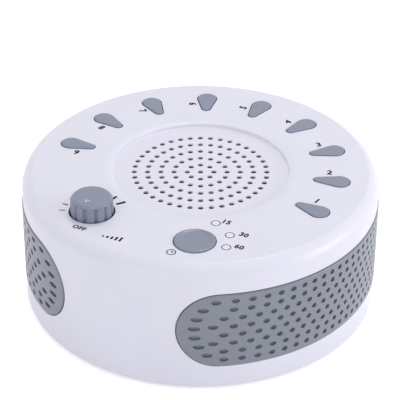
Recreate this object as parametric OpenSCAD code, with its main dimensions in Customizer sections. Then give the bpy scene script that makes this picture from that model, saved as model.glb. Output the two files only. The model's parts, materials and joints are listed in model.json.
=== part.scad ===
// White noise sound machine.
// A round box with a loudspeaker under a perforated dish, nine sound buttons round the back of the top,
// a timer button with three lamps, and a volume knob. It runs on four AA cells or a low voltage adaptor.
// The front faces -Y, the feet stand on Z = 0 and the body's axis is Z.
// A dial angle is measured from the front, counter-clockwise seen from above.

/* [Body] */
// Outer radius of the round body
body_r = 65; // [65:0.5:67]
// Height of the flat top above the table
top_z = 51; // [51:0.5:53]
// Thickness of the side wall
wall_t = 2.5; // [2.4:0.1:2.6]
// Thickness of the top plate
roof_t = 2.2; // [2.2:0.1:2.4]
// Radius of the rounded top edge
edge_r = 4; // [3:0.5:4.5]
// How far the feet stand out below the base
foot_h = 1.2; // [1:0.1:1.4]

/* [Speaker dish] */
// Radius of the dish's side wall
dish_r = 32.2; // [31.8:0.1:32.6]
// Depth of the dish
dish_depth = 1.8; // [1.8:0.1:2]
// Diameter of one speaker hole
hole_d = 2; // [1.6:0.1:2.2]
// Distance from one ring of holes to the next
hole_pitch = 4.84; // [4.6:0.02:4.9]
// Number of rings round the middle hole
hole_rings = 5; // [3:1:5]
// Dial angle that the first hole of every ring is turned to
hole_turn = 27.5; // [0:0.5:90]

/* [Sound buttons] */
// Angle from one sound button to the next
button_pitch = 24.5; // [24:0.5:25]
// Distance of the button's middle from the body's axis
button_ring_r = 47.1; // [46.8:0.1:47.4]
// Radius of the button's wide outer end
button_big_r = 3.6; // [3.4:0.1:3.8]
// Radius of the button's narrow inner end
button_small_r = 1.55; // [1.4:0.05:1.7]
// Distance between the middles of the two round ends
button_span = 7.85; // [7.6:0.05:8]
// How far a button stands out of the top
button_proud = 0.5; // [0.4:0.1:0.7]
// How far a button can be pressed
button_travel = 0.5; // [0.3:0.1:0.6]

/* [Timer and volume] */
// Dial angle of the timer button, and of the knob on the other side
control_angle = 25; // [24:0.5:26]
// Distance of both from the body's axis
control_ring_r = 48; // [47.7:0.1:48.3]
// Radius of the timer button
timer_r = 7.25; // [7:0.05:7.5]
// Radius of the knob at its base
knob_r = 7.7; // [7.6:0.1:7.9]
// Radius of the knob at its top
knob_top_r = 7.4; // [7.2:0.1:7.5]
// Height of the knob's top above the body's top
knob_h = 6.2; // [6:0.1:6.6]
// Number of flutes round the knob
flute_count = 12; // [10:1:16]

/* [Side grips] */
// Dial angle at which a grip begins and ends
grip_end_angle = 20; // [19:0.5:22]
// Half the height of a grip
grip_half_h = 15; // [14.5:0.1:15.2]
// Height of a grip's middle line
grip_mid_z = 25.2; // [24.8:0.1:25.6]
// How far a grip stands out of the wall
grip_proud = 0.35; // [0.2:0.05:0.5]
// Diameter of a dimple
dimple_d = 1.8; // [1.6:0.1:2]
// Depth of a dimple
dimple_depth = 0.8; // [0.5:0.1:0.9]

/* [Power] */
// Diameter of one AA cell
cell_d = 14.5; // [14.4:0.1:14.6]
// Length of the battery bay
bay_l = 58; // [57.5:0.5:58.5]

/* [Hidden] */

$fn = 64;
eps = 0.1;           // overlap of shapes that are joined or cut
flank_inset = 0.02;  // of a teardrop's straight sides from its tangents
fit_gap = 0.1;       // gap between a fixed piece and its seat
slide_gap = 0.3;     // gap round a button cap

// colours
shell_white = [0.89, 0.88, 0.93];
grip_grey = [0.60, 0.62, 0.68];
button_grey = [0.56, 0.58, 0.65];
steel = [0.72, 0.73, 0.75];
board_green = [0.10, 0.38, 0.22];
black_plastic = [0.09, 0.09, 0.10];
copper = [0.80, 0.47, 0.25];

// body heights and radii
wall_z = foot_h;
inner_r = body_r - wall_t;
ceiling_z = top_z - roof_t;
inner_corner_r = 2;
dish_z = top_z - dish_depth;
dish_under_z = dish_z - roof_t;
dish_drop_r = dish_r + roof_t;
dish_floor_fillet = 0.7;
dish_rim_r = 0.7;
dish_ease_r = 35.5;  // the top falls off a little from here to the dish's rim
dish_ease_drop = 0.3;
holes_per_ring = 8;  // the first ring; each next ring has as many more

// base plate, housing posts and screws
base_t = 3;
base_top_z = wall_z + base_t;
base_r = inner_r - 0.3;
lip_t = 1.5;
lip_h = 3;
lip_cut_r = 4.6;     // the lip is left out this far round a post
post_r = 3.2;
post_ring_r = inner_r - 3.9;
post_low_z = base_top_z + fit_gap;
post_rib_t = 1.6;
post_angles = [45, 135, 225, 315];
post_pilot_r = 1.2;
post_pilot_h = 10;
pilot_r = 0.9;       // pilot hole of the small screws
board_hole_r = 1.2;  // clearance hole of the small screws
thread_gap = 0.05;   // a screw's shank stays this much inside its pilot hole
housing_screw_l = 9;
housing_screw_head_r = 2.7;
housing_screw_head_h = 1;
housing_screw_hole_r = 1.6;
screw_sink_r = 3;
screw_sink_depth = 1.2;
small_screw_head_r = 2;
small_screw_head_h = 1.4;

// rubber feet
foot_r = 5;
foot_seat = 1;
foot_ring_r = 52;
foot_angles = [36, 144, 216, 324];
foot_chamfer = 0.4;

// dial positions of the sound buttons
button_count = 9;
button_first = 180 - button_pitch * (button_count - 1) / 2;
button_top_z = top_z + button_proud;
button_skirt_z = ceiling_z - fit_gap;
button_skirt_h = 1;
button_skirt_grow = 0.8;
button_bevel = 0.5;
button_stem_r = 1.8;
timer_stem_r = 2.5;

// control board and switches
board_t = 1.6;
board_top_z = top_z - 11.5;
board_in_r = 34;
board_out_r = 54.8;
board_post_r = 2.75;
board_post_ring_r = 51.5;
board_pilot_h = 7;
board_post_angles = concat([0], [for (k = [-3.5, -1.5, 1.5, 3.5]) 180 + k * button_pitch]);
switch_w = 6;
switch_h = 3.5;
plunger_r = 1.7;
plunger_top_z = board_top_z + 5;
plunger_low_z = board_top_z + 1.5;
plunger_gap = 0.05;
plunger_well = 0.2;  // room under a plunger that is pressed

// timer lamps
lamp_places = [[84, 13.3], [44, 12.6], [8, 11.4]];  // angle and distance from the timer button
lamp_r = 1.35;
lamp_flange_r = 2.4;
led_r = 1.5;
led_h = 3.5;

// volume control
knob_hole_r = knob_r + 0.5;
knob_low_z = top_z - 1.2;
knob_top_z = top_z + knob_h;
knob_edge_r = 1.2;
knob_wall_t = 1.6;
knob_hub_r = 4.6;
shaft_r = 3;
shaft_flat = 1.5;
shaft_play = 0.02;
shaft_top_z = knob_top_z - 1.6;
pot_w = 9.5;
pot_l = 10.5;
pot_h = 6.8;
pot_bush_r = 3.5;
pot_bush_h = 1.2;
flute_r = 0.55;
flute_out = 0.05;    // the flutes are drilled this far outside the knob's side
flute_low = 1.7;     // and end this far under the knob's top
flute_turn = 11;     // the first flute stands this far round from the front at OFF
pointer_w = 1.2;
pointer_l = 2;
pointer_ring_r = 3.4;
pointer_depth = 0.3;
pointer_turn = 2;    // the pointer stands this far round from the front at OFF

// grips
pocket_depth = 1.3;
grip_in_r = body_r - pocket_depth + 0.05;
grip_out_r = body_r + grip_proud;
grip_floor_r = grip_out_r - dimple_depth;
grip_gap = 0.3;
grip_end_turn = asin(grip_half_h / body_r);
grip_disc_angle = grip_end_angle + grip_end_turn;
dimple_pitch = 3.99;
dimple_row_pitch = 3.49;
dimple_rows = 6;
border_pitch = 3.9;
border_half_h = 12.25;
border_mid_y = body_r * cos(grip_disc_angle);
border_end_turn = 4.8;  // from the grip's end to the outermost dimples
border_end_l = body_r * cos(grip_end_angle + border_end_turn) - border_mid_y;
border_margin = 2.2;
border_phase = 0.8;
stud_r = 1.5;
stud_head_r = 2.5;
stud_angles = [65, 115];
stud_rise = 9;

// loudspeaker
cloth_t = 0.4;
flange_r = 28.5;
flange_top_z = dish_under_z - cloth_t;
flange_low_z = flange_top_z - 1.2;
speaker_boss_r = 3;
speaker_boss_ring_r = 32.6;
speaker_boss_angles = [45, 135, 225, 315];
speaker_pilot_h = 3.2;
speaker_screw_l = 3.7;
speaker_screw_head_r = 2.2;
washer_r = 5;
washer_t = 0.8;
basket_low_z = flange_low_z - 11.6;
magnet_top_z = basket_low_z;
terminal_y = 27.4;   // outer face of the terminal block
terminal_z = flange_low_z - 3.2;
top_plate_t = 2;
magnet_t = 6;
yoke_t = 2;
magnet_r = 17.5;
pole_r = 7.3;
coil_r = 8.1;
cone_top_z = flange_low_z - 0.5;
cone_low_z = cone_top_z - 7.2;

// battery bay and door
cell_pitch = cell_d + 0.4;
cell_count = 4;
bay_w = cell_pitch * cell_count + 0.8;
bay_wall = 1.5;
door_t = 1.6;
cell_mid_z = wall_z + door_t + 0.4 + cell_d / 2;
bay_ceiling_z = cell_mid_z + cell_d / 2 + 1.1;
door_ledge = 1.6;
door_gap = 0.3;
door_rim_h = 2.6;
door_rim_t = 1.2;
door_corner = 4;     // length of the rim that stays at each corner
latch_w = 9;
latch_bead_w = 7;
latch_bead_low = 1.4;
latch_bead_h = 0.8;
latch_bead_out = 0.2;
groove_w = 12;
groove_t = 0.8;
groove_pitch = 1.6;
groove_depth = 0.5;
groove_y = 6;        // middle groove, measured from the door's front rim
contact_w = 10;
contact_t = 0.5;
contact_gap = 0.1;   // from a contact plate to the bay's wall
nipple_r = 2.2;
nipple_h = 0.9;

// main board and power inlet
main_w = 44;
main_l = 21;
main_y = 34;
main_z = base_top_z + 3.8;
main_hole_in = 4;    // from the board's edges to the middle of a screw hole
main_pilot_h = 5;
standoff_r = 2.6;
inlet_w = 9;
inlet_l = 14;
inlet_h = 11;
inlet_back_y = inner_r - 1;
inlet_z = main_z + board_t + 6.5;
inlet_nose_r = 4;
inlet_bore_r = 2.8;
inlet_bore_l = 8;
inlet_nose_l = 3;
inlet_pin_r = 1.05;
inlet_pin_root = 2;  // how far the pin is set in the block
inlet_pin_l = 11;
lead_r = 0.6;
header_w = 14;
header_l = 3.4;
header_h = 4;
header_y = main_y + 3;
plug_h = 5;
plug_x = main_w / 2 - 4;
plug_y = main_y + 10.5;
lead_y = dish_drop_r - 2.9;   // the speaker leads go down here, inside the control board
lead_z = 24;
battery_lead_z = 13;

// ---------------------------------------------------------------- helpers

// moves the children to a dial angle and radius, with their -Y pointing outward
module dial(angle, r) {
    translate([r * sin(angle), -r * cos(angle), 0]) rotate([0, 0, angle]) children();
}

// half section of a block turned about Z, with a rounded upper rim
module turned_block(r, low, high, corner) {
    translate([0, low]) square([r, high - low - corner]);
    translate([0, low]) square([r - corner, high - low]);
    translate([r - corner, high - corner]) circle(r = corner);
}

// ring with a square section
module ring(r_in, r_out, low, high) {
    difference() {
        translate([0, 0, low]) cylinder(r = r_out, h = high - low);
        translate([0, 0, low - eps]) cylinder(r = r_in, h = high - low + 2 * eps);
    }
}

// disc or post between two heights
module post(r, low, high) {
    translate([0, 0, low]) cylinder(r = r, h = high - low);
}

// block centred on X and Y between two heights
module block(w, l, low, high) {
    translate([-w / 2, -l / 2, low]) cube([w, l, high - low]);
}

// outline of a teardrop, wide end toward -Y; its flanks run just inside the arcs, so that they cross them
module teardrop(big, small, span) {
    lean = acos((big - small) / span);
    low = big - flank_inset;
    high = small - flank_inset;
    translate([0, -span / 2]) circle(r = big);
    translate([0, span / 2]) circle(r = small);
    polygon([
        [low * sin(lean), -span / 2 + low * cos(lean)],
        [high * sin(lean), span / 2 + high * cos(lean)],
        [-high * sin(lean), span / 2 + high * cos(lean)],
        [-low * sin(lean), -span / 2 + low * cos(lean)]
    ]);
}

// outline of a sound button, grown by a margin
module button_outline(grow) {
    teardrop(button_big_r + grow, button_small_r + grow, button_span);
}

// pan head screw, head down, seen standing with its tip up
module screw(head_r, head_h, shank_r, low, length) {
    post(head_r, low, low + head_h);
    post(shank_r, low + head_h - eps, low + head_h + length);
}

// round wire that follows straight runs between points
module wire(points, r) {
    for (i = [0 : len(points) - 2]) {
        run = points[i + 1] - points[i];
        translate(points[i])
            rotate([0, acos(run[2] / norm(run)), atan2(run[1], run[0])])
                cylinder(r = r, h = norm(run), $fn = 16);
    }
    for (i = [1 : len(points) - 2]) translate(points[i]) sphere(r = r * 1.05, $fn = 16);
}

// a ring of section points round a helix point
function coil_ring(t, turns, r_low, r_high, rise, wire_r, sides) =
    let (a = 360 * turns * t, r = r_low + (r_high - r_low) * t)
    [for (k = [0 : sides - 1])
        let (b = 360 * k / sides, q = r + wire_r * cos(b))
        [q * cos(a), q * sin(a), rise * t + wire_r * sin(b)]];

// conical compression spring that stands on Z = 0
module coil_spring(turns, r_low, r_high, rise, wire_r) {
    sides = 6;
    steps = turns * 12;
    points = [for (i = [0 : steps]) each coil_ring(i / steps, turns, r_low, r_high, rise, wire_r, sides)];
    skin = [for (i = [0 : steps - 1], k = [0 : sides - 1])
        let (n = (k + 1) % sides)
        [i * sides + k, (i + 1) * sides + k, (i + 1) * sides + n, i * sides + n]];
    ends = [[for (k = [0 : sides - 1]) k], [for (k = [0 : sides - 1]) steps * sides + sides - 1 - k]];
    polyhedron(points = points, faces = concat(skin, ends), convexity = 8);
}

// ---------------------------------------------------------------- housing

// part of the dish that is cut from the top, as a half section
module dish_section() {
    difference() {
        translate([0, dish_z]) square([dish_r, dish_depth + 1]);
        difference() {
            translate([dish_r - dish_floor_fillet, dish_z - eps])
                square([dish_floor_fillet + eps, dish_floor_fillet + eps]);
            translate([dish_r - dish_floor_fillet, dish_z + dish_floor_fillet]) circle(r = dish_floor_fillet);
        }
    }
    rim_out_r = dish_r + dish_rim_r;
    rim_top_z = top_z - dish_ease_drop;
    difference() {
        translate([dish_r - eps, rim_top_z - dish_rim_r]) square([dish_rim_r + eps, dish_rim_r + 1]);
        translate([rim_out_r, rim_top_z - dish_rim_r]) circle(r = dish_rim_r);
    }
    polygon([
        [rim_out_r - eps, rim_top_z],
        [rim_out_r, rim_top_z],
        [2 * dish_ease_r - rim_out_r, top_z + dish_ease_drop],
        [rim_out_r - eps, top_z + dish_ease_drop]
    ]);
}

// half section of the cup, with the plate stepped down under the dish
module shell_section() {
    difference() {
        turned_block(body_r, wall_z, top_z, edge_r);
        difference() {
            turned_block(inner_r, wall_z - 1, ceiling_z, inner_corner_r);
            translate([0, dish_under_z]) square([dish_drop_r, dish_depth + roof_t]);
        }
        dish_section();
    }
}

// rings of speaker holes
module speaker_holes() {
    post(hole_d / 2, dish_under_z - 1, dish_z + 1);
    for (k = [1 : hole_rings]) {
        count = holes_per_ring * k;
        for (i = [0 : count - 1])
            dial(hole_turn + 360 * i / count, k * hole_pitch) post(hole_d / 2, dish_under_z - 1, dish_z + 1);
    }
}

// positions of all sound buttons
module at_each_button() {
    for (k = [0 : button_count - 1]) dial(button_first + k * button_pitch, button_ring_r) children();
}

// position of the timer button
module at_timer() {
    dial(control_angle, control_ring_r) children();
}

// position of the knob
module at_knob() {
    dial(-control_angle, control_ring_r) children();
}

// positions of the three timer lamps
module at_each_lamp() {
    timer = [control_ring_r * sin(control_angle), -control_ring_r * cos(control_angle), 0];
    for (p = lamp_places) translate(timer + p[1] * [cos(p[0]), sin(p[0]), 0]) children();
}

// curved plate with round ends that follows the side wall on the +X side
module grip_plate(r_in, r_out, grow) {
    high = grip_half_h + grow;
    rotate([0, 0, grip_disc_angle - 90])
        rotate_extrude(angle = 180 - 2 * grip_disc_angle)
            translate([r_in, grip_mid_z - high]) square([r_out - r_in, 2 * high]);
    for (a = [grip_disc_angle, 180 - grip_disc_angle])
        intersection() {
            ring(r_in, r_out, grip_mid_z - high - 1, grip_mid_z + high + 1);
            dial(a, r_in / 2) translate([0, 0, grip_mid_z]) rotate([90, 0, 0]) cylinder(r = high, h = body_r);
        }
}

// studs that hold a grip, through the wall
module grip_studs(r, low, high) {
    for (a = stud_angles, side = [-1, 1])
        dial(a, low) translate([0, 0, grip_mid_z + side * stud_rise])
            rotate([90, 0, 0]) cylinder(r = r, h = high - low);
}

module upper_housing() {
    color(shell_white) difference() {
        union() {
            rotate_extrude($fn = 180) shell_section();
            for (a = post_angles) dial(a, post_ring_r) {
                post(post_r, post_low_z, ceiling_z + eps);
                translate([0, post_ring_r - inner_r, 0])
                    block(post_rib_t, 2, base_top_z + lip_h + 1, ceiling_z + eps);
            }
            for (a = board_post_angles)
                dial(a, board_post_ring_r) post(board_post_r, board_top_z, ceiling_z + eps);
            for (a = speaker_boss_angles)
                dial(a, speaker_boss_ring_r) post(speaker_boss_r, flange_low_z, ceiling_z + eps);
        }
        speaker_holes();
        at_each_button()
            translate([0, 0, ceiling_z - 1]) linear_extrude(roof_t + 2) button_outline(slide_gap);
        at_timer() post(timer_r + slide_gap, ceiling_z - 1, top_z + 1);
        at_knob() post(knob_hole_r, ceiling_z - 1, top_z + 1);
        at_each_lamp() post(lamp_r + fit_gap, ceiling_z - 1, top_z + 1);
        for (a = post_angles)
            dial(a, post_ring_r) post(post_pilot_r, base_top_z - 1, base_top_z + post_pilot_h);
        for (a = board_post_angles)
            dial(a, board_post_ring_r) post(pilot_r, board_top_z - 1, board_top_z + board_pilot_h);
        for (a = speaker_boss_angles)
            dial(a, speaker_boss_ring_r) post(pilot_r, flange_low_z - 1, flange_low_z + speaker_pilot_h);
        for (side = [0, 1]) mirror([side, 0, 0]) {
            grip_plate(body_r - pocket_depth, body_r + 1, grip_gap);
            grip_studs(stud_r + fit_gap, inner_r - 2, grip_in_r);
        }
        translate([0, inner_r - 1, inlet_z])
            rotate([-90, 0, 0]) cylinder(r = inlet_nose_r + fit_gap, h = wall_t + 2);
    }
}

// ---------------------------------------------------------------- base

module base_plate() {
    door_w = bay_w + 2 * door_ledge;
    door_l = bay_l + 2 * door_ledge;
    color(shell_white) difference() {
        union() {
            post(base_r, wall_z, base_top_z);
            difference() {
                ring(base_r - lip_t, base_r, base_top_z - eps, base_top_z + lip_h);
                for (a = post_angles)
                    dial(a, post_ring_r) post(lip_cut_r, base_top_z, base_top_z + lip_h + 1);
            }
            block(bay_w + 2 * bay_wall, bay_l + 2 * bay_wall, base_top_z - eps, bay_ceiling_z + bay_wall);
            at_each_standoff() post(standoff_r, base_top_z - eps, main_z);
        }
        block(bay_w, bay_l, wall_z - 1, bay_ceiling_z);
        block(door_w, door_l, wall_z - 1, wall_z + door_t);
        at_each_standoff() post(pilot_r, main_z - main_pilot_h, main_z + 1);
        for (a = post_angles) dial(a, post_ring_r) {
            post(housing_screw_hole_r, wall_z - 1, base_top_z + 1);
            post(screw_sink_r, wall_z - 1, wall_z + screw_sink_depth);
        }
        at_each_foot() post(foot_r, wall_z - 1, wall_z + foot_seat);
    }
}

// positions of the main board's screws
module at_each_standoff() {
    for (x = [-1, 1] * (main_w / 2 - main_hole_in), y = [main_hole_in, main_l - main_hole_in])
        translate([x, main_y + y, 0]) children();
}

// positions of the four feet
module at_each_foot() {
    for (a = foot_angles) dial(a, foot_ring_r) children();
}

module rubber_feet() {
    side_r = foot_r - thread_gap;
    color(black_plastic) at_each_foot() {
        post(side_r, foot_chamfer, wall_z + foot_seat);
        cylinder(r1 = side_r - foot_chamfer, r2 = side_r, h = foot_chamfer);
    }
}

module housing_screws() {
    head_z = wall_z + screw_sink_depth - housing_screw_head_h;
    shank_r = post_pilot_r - thread_gap;
    color(steel) for (a = post_angles)
        dial(a, post_ring_r) screw(housing_screw_head_r, housing_screw_head_h, shank_r, head_z, housing_screw_l);
}

module battery_door() {
    door_w = bay_w + 2 * (door_ledge - door_gap);
    door_l = bay_l + 2 * (door_ledge - door_gap);
    rim_w = bay_w - 2 * door_gap;
    rim_l = bay_l - 2 * door_gap;
    door_top_z = wall_z + door_t;
    rim_top_z = door_top_z + door_rim_h;
    color(shell_white) difference() {
        union() {
            block(door_w, door_l, wall_z, door_top_z - 0.05);
            difference() {
                block(rim_w, rim_l, wall_z + eps, rim_top_z);
                block(rim_w - 2 * door_rim_t, rim_l - 2 * door_rim_t, wall_z, rim_top_z + 1);
                block(rim_w - 2 * door_corner, rim_l + 2, door_top_z, rim_top_z + 1);
                block(rim_w + 2, rim_l - 2 * door_corner, door_top_z, rim_top_z + 1);
            }
            for (side = [-1, 1])
                translate([0, side * (rim_l - door_rim_t) / 2, 0]) {
                    block(latch_w, door_rim_t, wall_z + eps, rim_top_z);
                    translate([0, side * door_rim_t / 2, door_top_z + latch_bead_low])
                        block(latch_bead_w, 2 * latch_bead_out, 0, latch_bead_h);
                }
        }
        for (k = [-2 : 2])
            translate([0, -rim_l / 2 + groove_y + groove_pitch * k, 0])
                block(groove_w, groove_t, wall_z - 1, wall_z + groove_depth);
    }
}

// ---------------------------------------------------------------- grips

// running length along a chain of points
function chain(p) =
    [for (i = 0, s = 0; i < len(p); s = s + (i < len(p) - 1 ? norm(p[i + 1] - p[i]) : 0), i = i + 1) s];

// half height of the border line at a distance from the middle of the wall
function border_y(dz) = border_mid_y + border_end_l * sqrt(max(0, 1 - pow(dz / border_half_h, 2)));

// closed border line of the dimples, as [y, z] from the middle of the grip
border_line = concat(
    [for (i = [0 : 10]) [-border_mid_y * i / 10, border_half_h]],
    [for (a = [6 : 6 : 174]) [-border_mid_y - border_end_l * sin(a), border_half_h * cos(a)]],
    [for (i = [-10 : 10]) [border_mid_y * i / 10, -border_half_h]],
    [for (a = [6 : 6 : 174]) [border_mid_y + border_end_l * sin(a), -border_half_h * cos(a)]],
    [for (i = [10 : -1 : 0]) [border_mid_y * i / 10, border_half_h]]
);
border_run = chain(border_line);
border_length = border_run[len(border_run) - 1];
border_count = round(border_length / border_pitch);

// point of the border line at a running length
function border_point(s) = [
    lookup(s, [for (i = [0 : len(border_line) - 1]) [border_run[i], border_line[i][0]]]),
    lookup(s, [for (i = [0 : len(border_line) - 1]) [border_run[i], border_line[i][1]]])
];

// every dimple of a grip, as [y, z] from the middle of the grip
dimples = concat(
    [for (i = [0 : border_count - 1])
        border_point((i * border_length / border_count + border_phase) % border_length)],
    [for (row = [0 : dimple_rows - 1])
        let (dz = (row - (dimple_rows - 1) / 2) * dimple_row_pitch, shift = row % 2 == 0 ? 0.5 : 0)
        for (k = [-16 : 16])
            let (y = (k + shift) * dimple_pitch)
            if (abs(y) < border_y(dz) - border_margin) [y, dz]]
);

// grip on the +X side, with dimples drawn in the mould's pull direction
module grip() {
    color(grip_grey) {
        difference() {
            grip_plate(grip_in_r, grip_out_r, 0);
            difference() {
                for (p = dimples)
                    translate([body_r * 0.3, p[0], grip_mid_z + p[1]])
                        rotate([0, 90, 0]) cylinder(r = dimple_d / 2, h = body_r, $fn = 16);
                post(grip_floor_r, 0, top_z);
            }
        }
        grip_studs(stud_r, inner_r - 0.5, grip_in_r + eps);
        grip_studs(stud_head_r, inner_r - 1.6, inner_r - 0.1);
    }
}

module grip_right() {
    grip();
}

module grip_left() {
    mirror([1, 0, 0]) grip();
}

// ---------------------------------------------------------------- volume

// half section of the knob's outside
module knob_section() {
    polygon([
        [0, knob_low_z],
        [knob_r, knob_low_z],
        [knob_top_r, knob_top_z - knob_edge_r],
        [knob_top_r - knob_edge_r, knob_top_z - knob_edge_r],
        [knob_top_r - knob_edge_r, knob_top_z],
        [0, knob_top_z]
    ]);
    translate([knob_top_r - knob_edge_r, knob_top_z - knob_edge_r]) circle(r = knob_edge_r);
}

module volume_knob() {
    taper = atan((knob_r - knob_top_r) / (knob_top_z - knob_edge_r - knob_low_z));
    flute_l = knob_top_z - flute_low - knob_low_z;
    color(button_grey) at_knob() rotate([0, 0, control_angle]) difference() {
        rotate_extrude() knob_section();
        difference() {
            post(knob_top_r - knob_wall_t, knob_low_z - 1, knob_top_z - 2);
            post(knob_hub_r, knob_low_z - 1, knob_top_z);
        }
        difference() {
            post(shaft_r + shaft_play, knob_low_z - 1, shaft_top_z + fit_gap);
            translate([0, 2 * shaft_r - shaft_flat + shaft_play, 0])
                block(3 * shaft_r, 2 * shaft_r, knob_low_z - 2, knob_top_z);
        }
        for (i = [0 : flute_count - 1])
            rotate([0, 0, i * 360 / flute_count + flute_turn])
                translate([0, -knob_r - flute_out, knob_low_z])
                    rotate([-taper, 0, 0])
                        translate([0, 0, -1]) cylinder(r = flute_r, h = flute_l + 1, $fn = 24);
        rotate([0, 0, pointer_turn]) translate([0, -pointer_ring_r, 0])
            block(pointer_w, pointer_l, knob_top_z - pointer_depth, knob_top_z + 1);
    }
}

module volume_shaft() {
    color(steel) at_knob() rotate([0, 0, control_angle]) difference() {
        post(shaft_r, board_top_z + board_t, shaft_top_z);
        translate([0, 2 * shaft_r - shaft_flat, 0])
            block(3 * shaft_r, 2 * shaft_r, ceiling_z + 1, knob_top_z);
    }
}

module volume_pot() {
    color(black_plastic) at_knob() difference() {
        union() {
            block(pot_w, pot_l, board_top_z, board_top_z + pot_h);
            post(pot_bush_r, board_top_z, board_top_z + pot_h + pot_bush_h);
        }
        post(shaft_r + plunger_gap, board_top_z + board_t - plunger_well, top_z);
    }
}

// ---------------------------------------------------------------- buttons

// one sound button at its own place
module sound_button(number) {
    cap_low = button_skirt_z - eps;
    color(button_grey) dial(button_first + (number - 1) * button_pitch, button_ring_r) {
        hull() {
            translate([0, 0, cap_low]) linear_extrude(button_top_z - button_bevel - cap_low)
                button_outline(0, $fn = 32);
            translate([0, 0, cap_low]) linear_extrude(button_top_z - cap_low)
                button_outline(-button_bevel, $fn = 32);
        }
        translate([0, 0, button_skirt_z - button_skirt_h]) linear_extrude(button_skirt_h)
            button_outline(button_skirt_grow);
        post(button_stem_r, plunger_top_z, button_skirt_z - button_skirt_h + eps);
    }
}

// half section of the timer button, with a low rim round a flat face
module timer_section() {
    translate([0, button_skirt_z - button_skirt_h])
        square([timer_r + button_skirt_grow, button_skirt_h]);
    difference() {
        turned_block(timer_r, button_skirt_z - eps, button_top_z, 0.6);
        translate([-1, button_top_z - 0.25]) square([timer_r - 0.3, 1]);
    }
}

module timer_button() {
    color(button_grey) at_timer() {
        rotate_extrude() timer_section();
        post(timer_stem_r, plunger_top_z, button_skirt_z - button_skirt_h + eps);
    }
}

// plunger of a tactile switch, under a button
module plunger() {
    color(black_plastic) post(plunger_r, plunger_low_z, plunger_top_z);
}

module sound_plunger(number) {
    dial(button_first + (number - 1) * button_pitch, button_ring_r) plunger();
}

module timer_plunger() {
    at_timer() plunger();
}

// body of one tactile switch
module switch_body() {
    difference() {
        block(switch_w, switch_w, board_top_z, board_top_z + switch_h);
        post(plunger_r + plunger_gap, plunger_low_z - button_travel - plunger_well, top_z);
    }
}

module tact_switches() {
    color([0.25, 0.25, 0.27]) {
        at_each_button() switch_body();
        at_timer() switch_body();
    }
}

// ---------------------------------------------------------------- control board

module control_board() {
    color(board_green) difference() {
        ring(board_in_r, board_out_r, board_top_z - board_t, board_top_z);
        for (a = board_post_angles)
            dial(a, board_post_ring_r) post(board_hole_r, board_top_z - board_t - 1, board_top_z + 1);
    }
}

module control_board_screws() {
    head_z = board_top_z - board_t - small_screw_head_h;
    color(steel) for (a = board_post_angles)
        dial(a, board_post_ring_r)
            screw(small_screw_head_r, small_screw_head_h, pilot_r - thread_gap, head_z, board_pilot_h);
}

module light_pipes() {
    color([0.96, 0.96, 0.97]) at_each_lamp() {
        post(lamp_r, ceiling_z - 1.5, top_z);
        post(lamp_flange_r, ceiling_z - 1, ceiling_z - 0.05);
    }
}

module timer_lamps() {
    color([0.9, 0.85, 0.7]) at_each_lamp() {
        post(led_r, board_top_z, board_top_z + led_h);
        translate([0, 0, board_top_z + led_h]) sphere(r = led_r, $fn = 32);
    }
}

// ---------------------------------------------------------------- loudspeaker

module speaker_basket() {
    bowl = [[25.6, flange_low_z], [25.6, flange_low_z - 1], [17.3, basket_low_z + 1], [8.9, basket_low_z + 1],
        [8.9, basket_low_z], [18, basket_low_z], [26.8, flange_low_z - 1], [26.8, flange_low_z]];
    color([0.35, 0.36, 0.38]) difference() {
        union() {
            ring(25.6, flange_r, flange_low_z, flange_top_z);
            rotate_extrude() polygon(bowl);
            ring(15.4, 18.2, basket_low_z + 1 - eps, basket_low_z + 2.2);
            translate([0, terminal_y - 1.1, 0]) block(8, 2.2, flange_low_z - 5.6, flange_low_z - 1.6);
        }
        for (a = [0 : 60 : 300])
            rotate([0, 0, a]) translate([22, 0, flange_low_z - 5.6])
                rotate([0, 90, 0]) cylinder(r = 3, h = 16, center = true);
    }
}

module speaker_surround() {
    color(black_plastic) rotate_extrude() {
        translate([24.8, flange_low_z]) square([0.78, 0.4]);
        difference() {
            translate([22.8, flange_low_z + 0.2]) circle(r = 2.1, $fn = 32);
            translate([22.8, flange_low_z + 0.2]) circle(r = 1.7, $fn = 32);
            translate([20, flange_low_z + 0.2]) square([6, 3]);
        }
        translate([20.1, flange_low_z]) square([0.8, 0.4]);
    }
}

module speaker_cone() {
    color([0.16, 0.16, 0.17]) rotate_extrude()
        polygon([[20.4, cone_top_z], [20.4, cone_top_z + 0.4], [19.9, cone_top_z + 0.4],
            [coil_r, cone_low_z + 0.6], [coil_r, cone_low_z]]);
}

module speaker_dust_cap() {
    cap_sphere_r = 11;
    cap_r = 8.6;
    cap_z = cone_low_z + 1;
    color([0.12, 0.12, 0.13]) translate([0, 0, cap_z]) intersection() {
        translate([0, 0, -sqrt(pow(cap_sphere_r, 2) - pow(cap_r, 2))]) difference() {
            sphere(r = cap_sphere_r);
            sphere(r = cap_sphere_r - 0.4);
        }
        post(cap_r, 0, 12);
    }
}

module voice_coil() {
    color(copper) {
        ring(coil_r - 0.3, coil_r, magnet_top_z - 3.4, cone_low_z + 0.5);
        ring(coil_r - eps, coil_r + 0.3, magnet_top_z - 2.6, magnet_top_z - 0.2);
    }
}

module speaker_spider() {
    color([0.75, 0.60, 0.30]) {
        ring(coil_r + 0.4, 16.8, basket_low_z + 2.2, basket_low_z + 2.6);
        for (r = [10.5, 12.5, 14.5]) ring(r, r + 0.6, basket_low_z + 2.2, basket_low_z + 3.1);
    }
}

module speaker_top_plate() {
    color(steel) ring(8.9, magnet_r - 1.5, magnet_top_z - top_plate_t, magnet_top_z);
}

module speaker_magnet() {
    color([0.20, 0.20, 0.21])
        ring(10, magnet_r, magnet_top_z - top_plate_t - magnet_t, magnet_top_z - top_plate_t);
}

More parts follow.
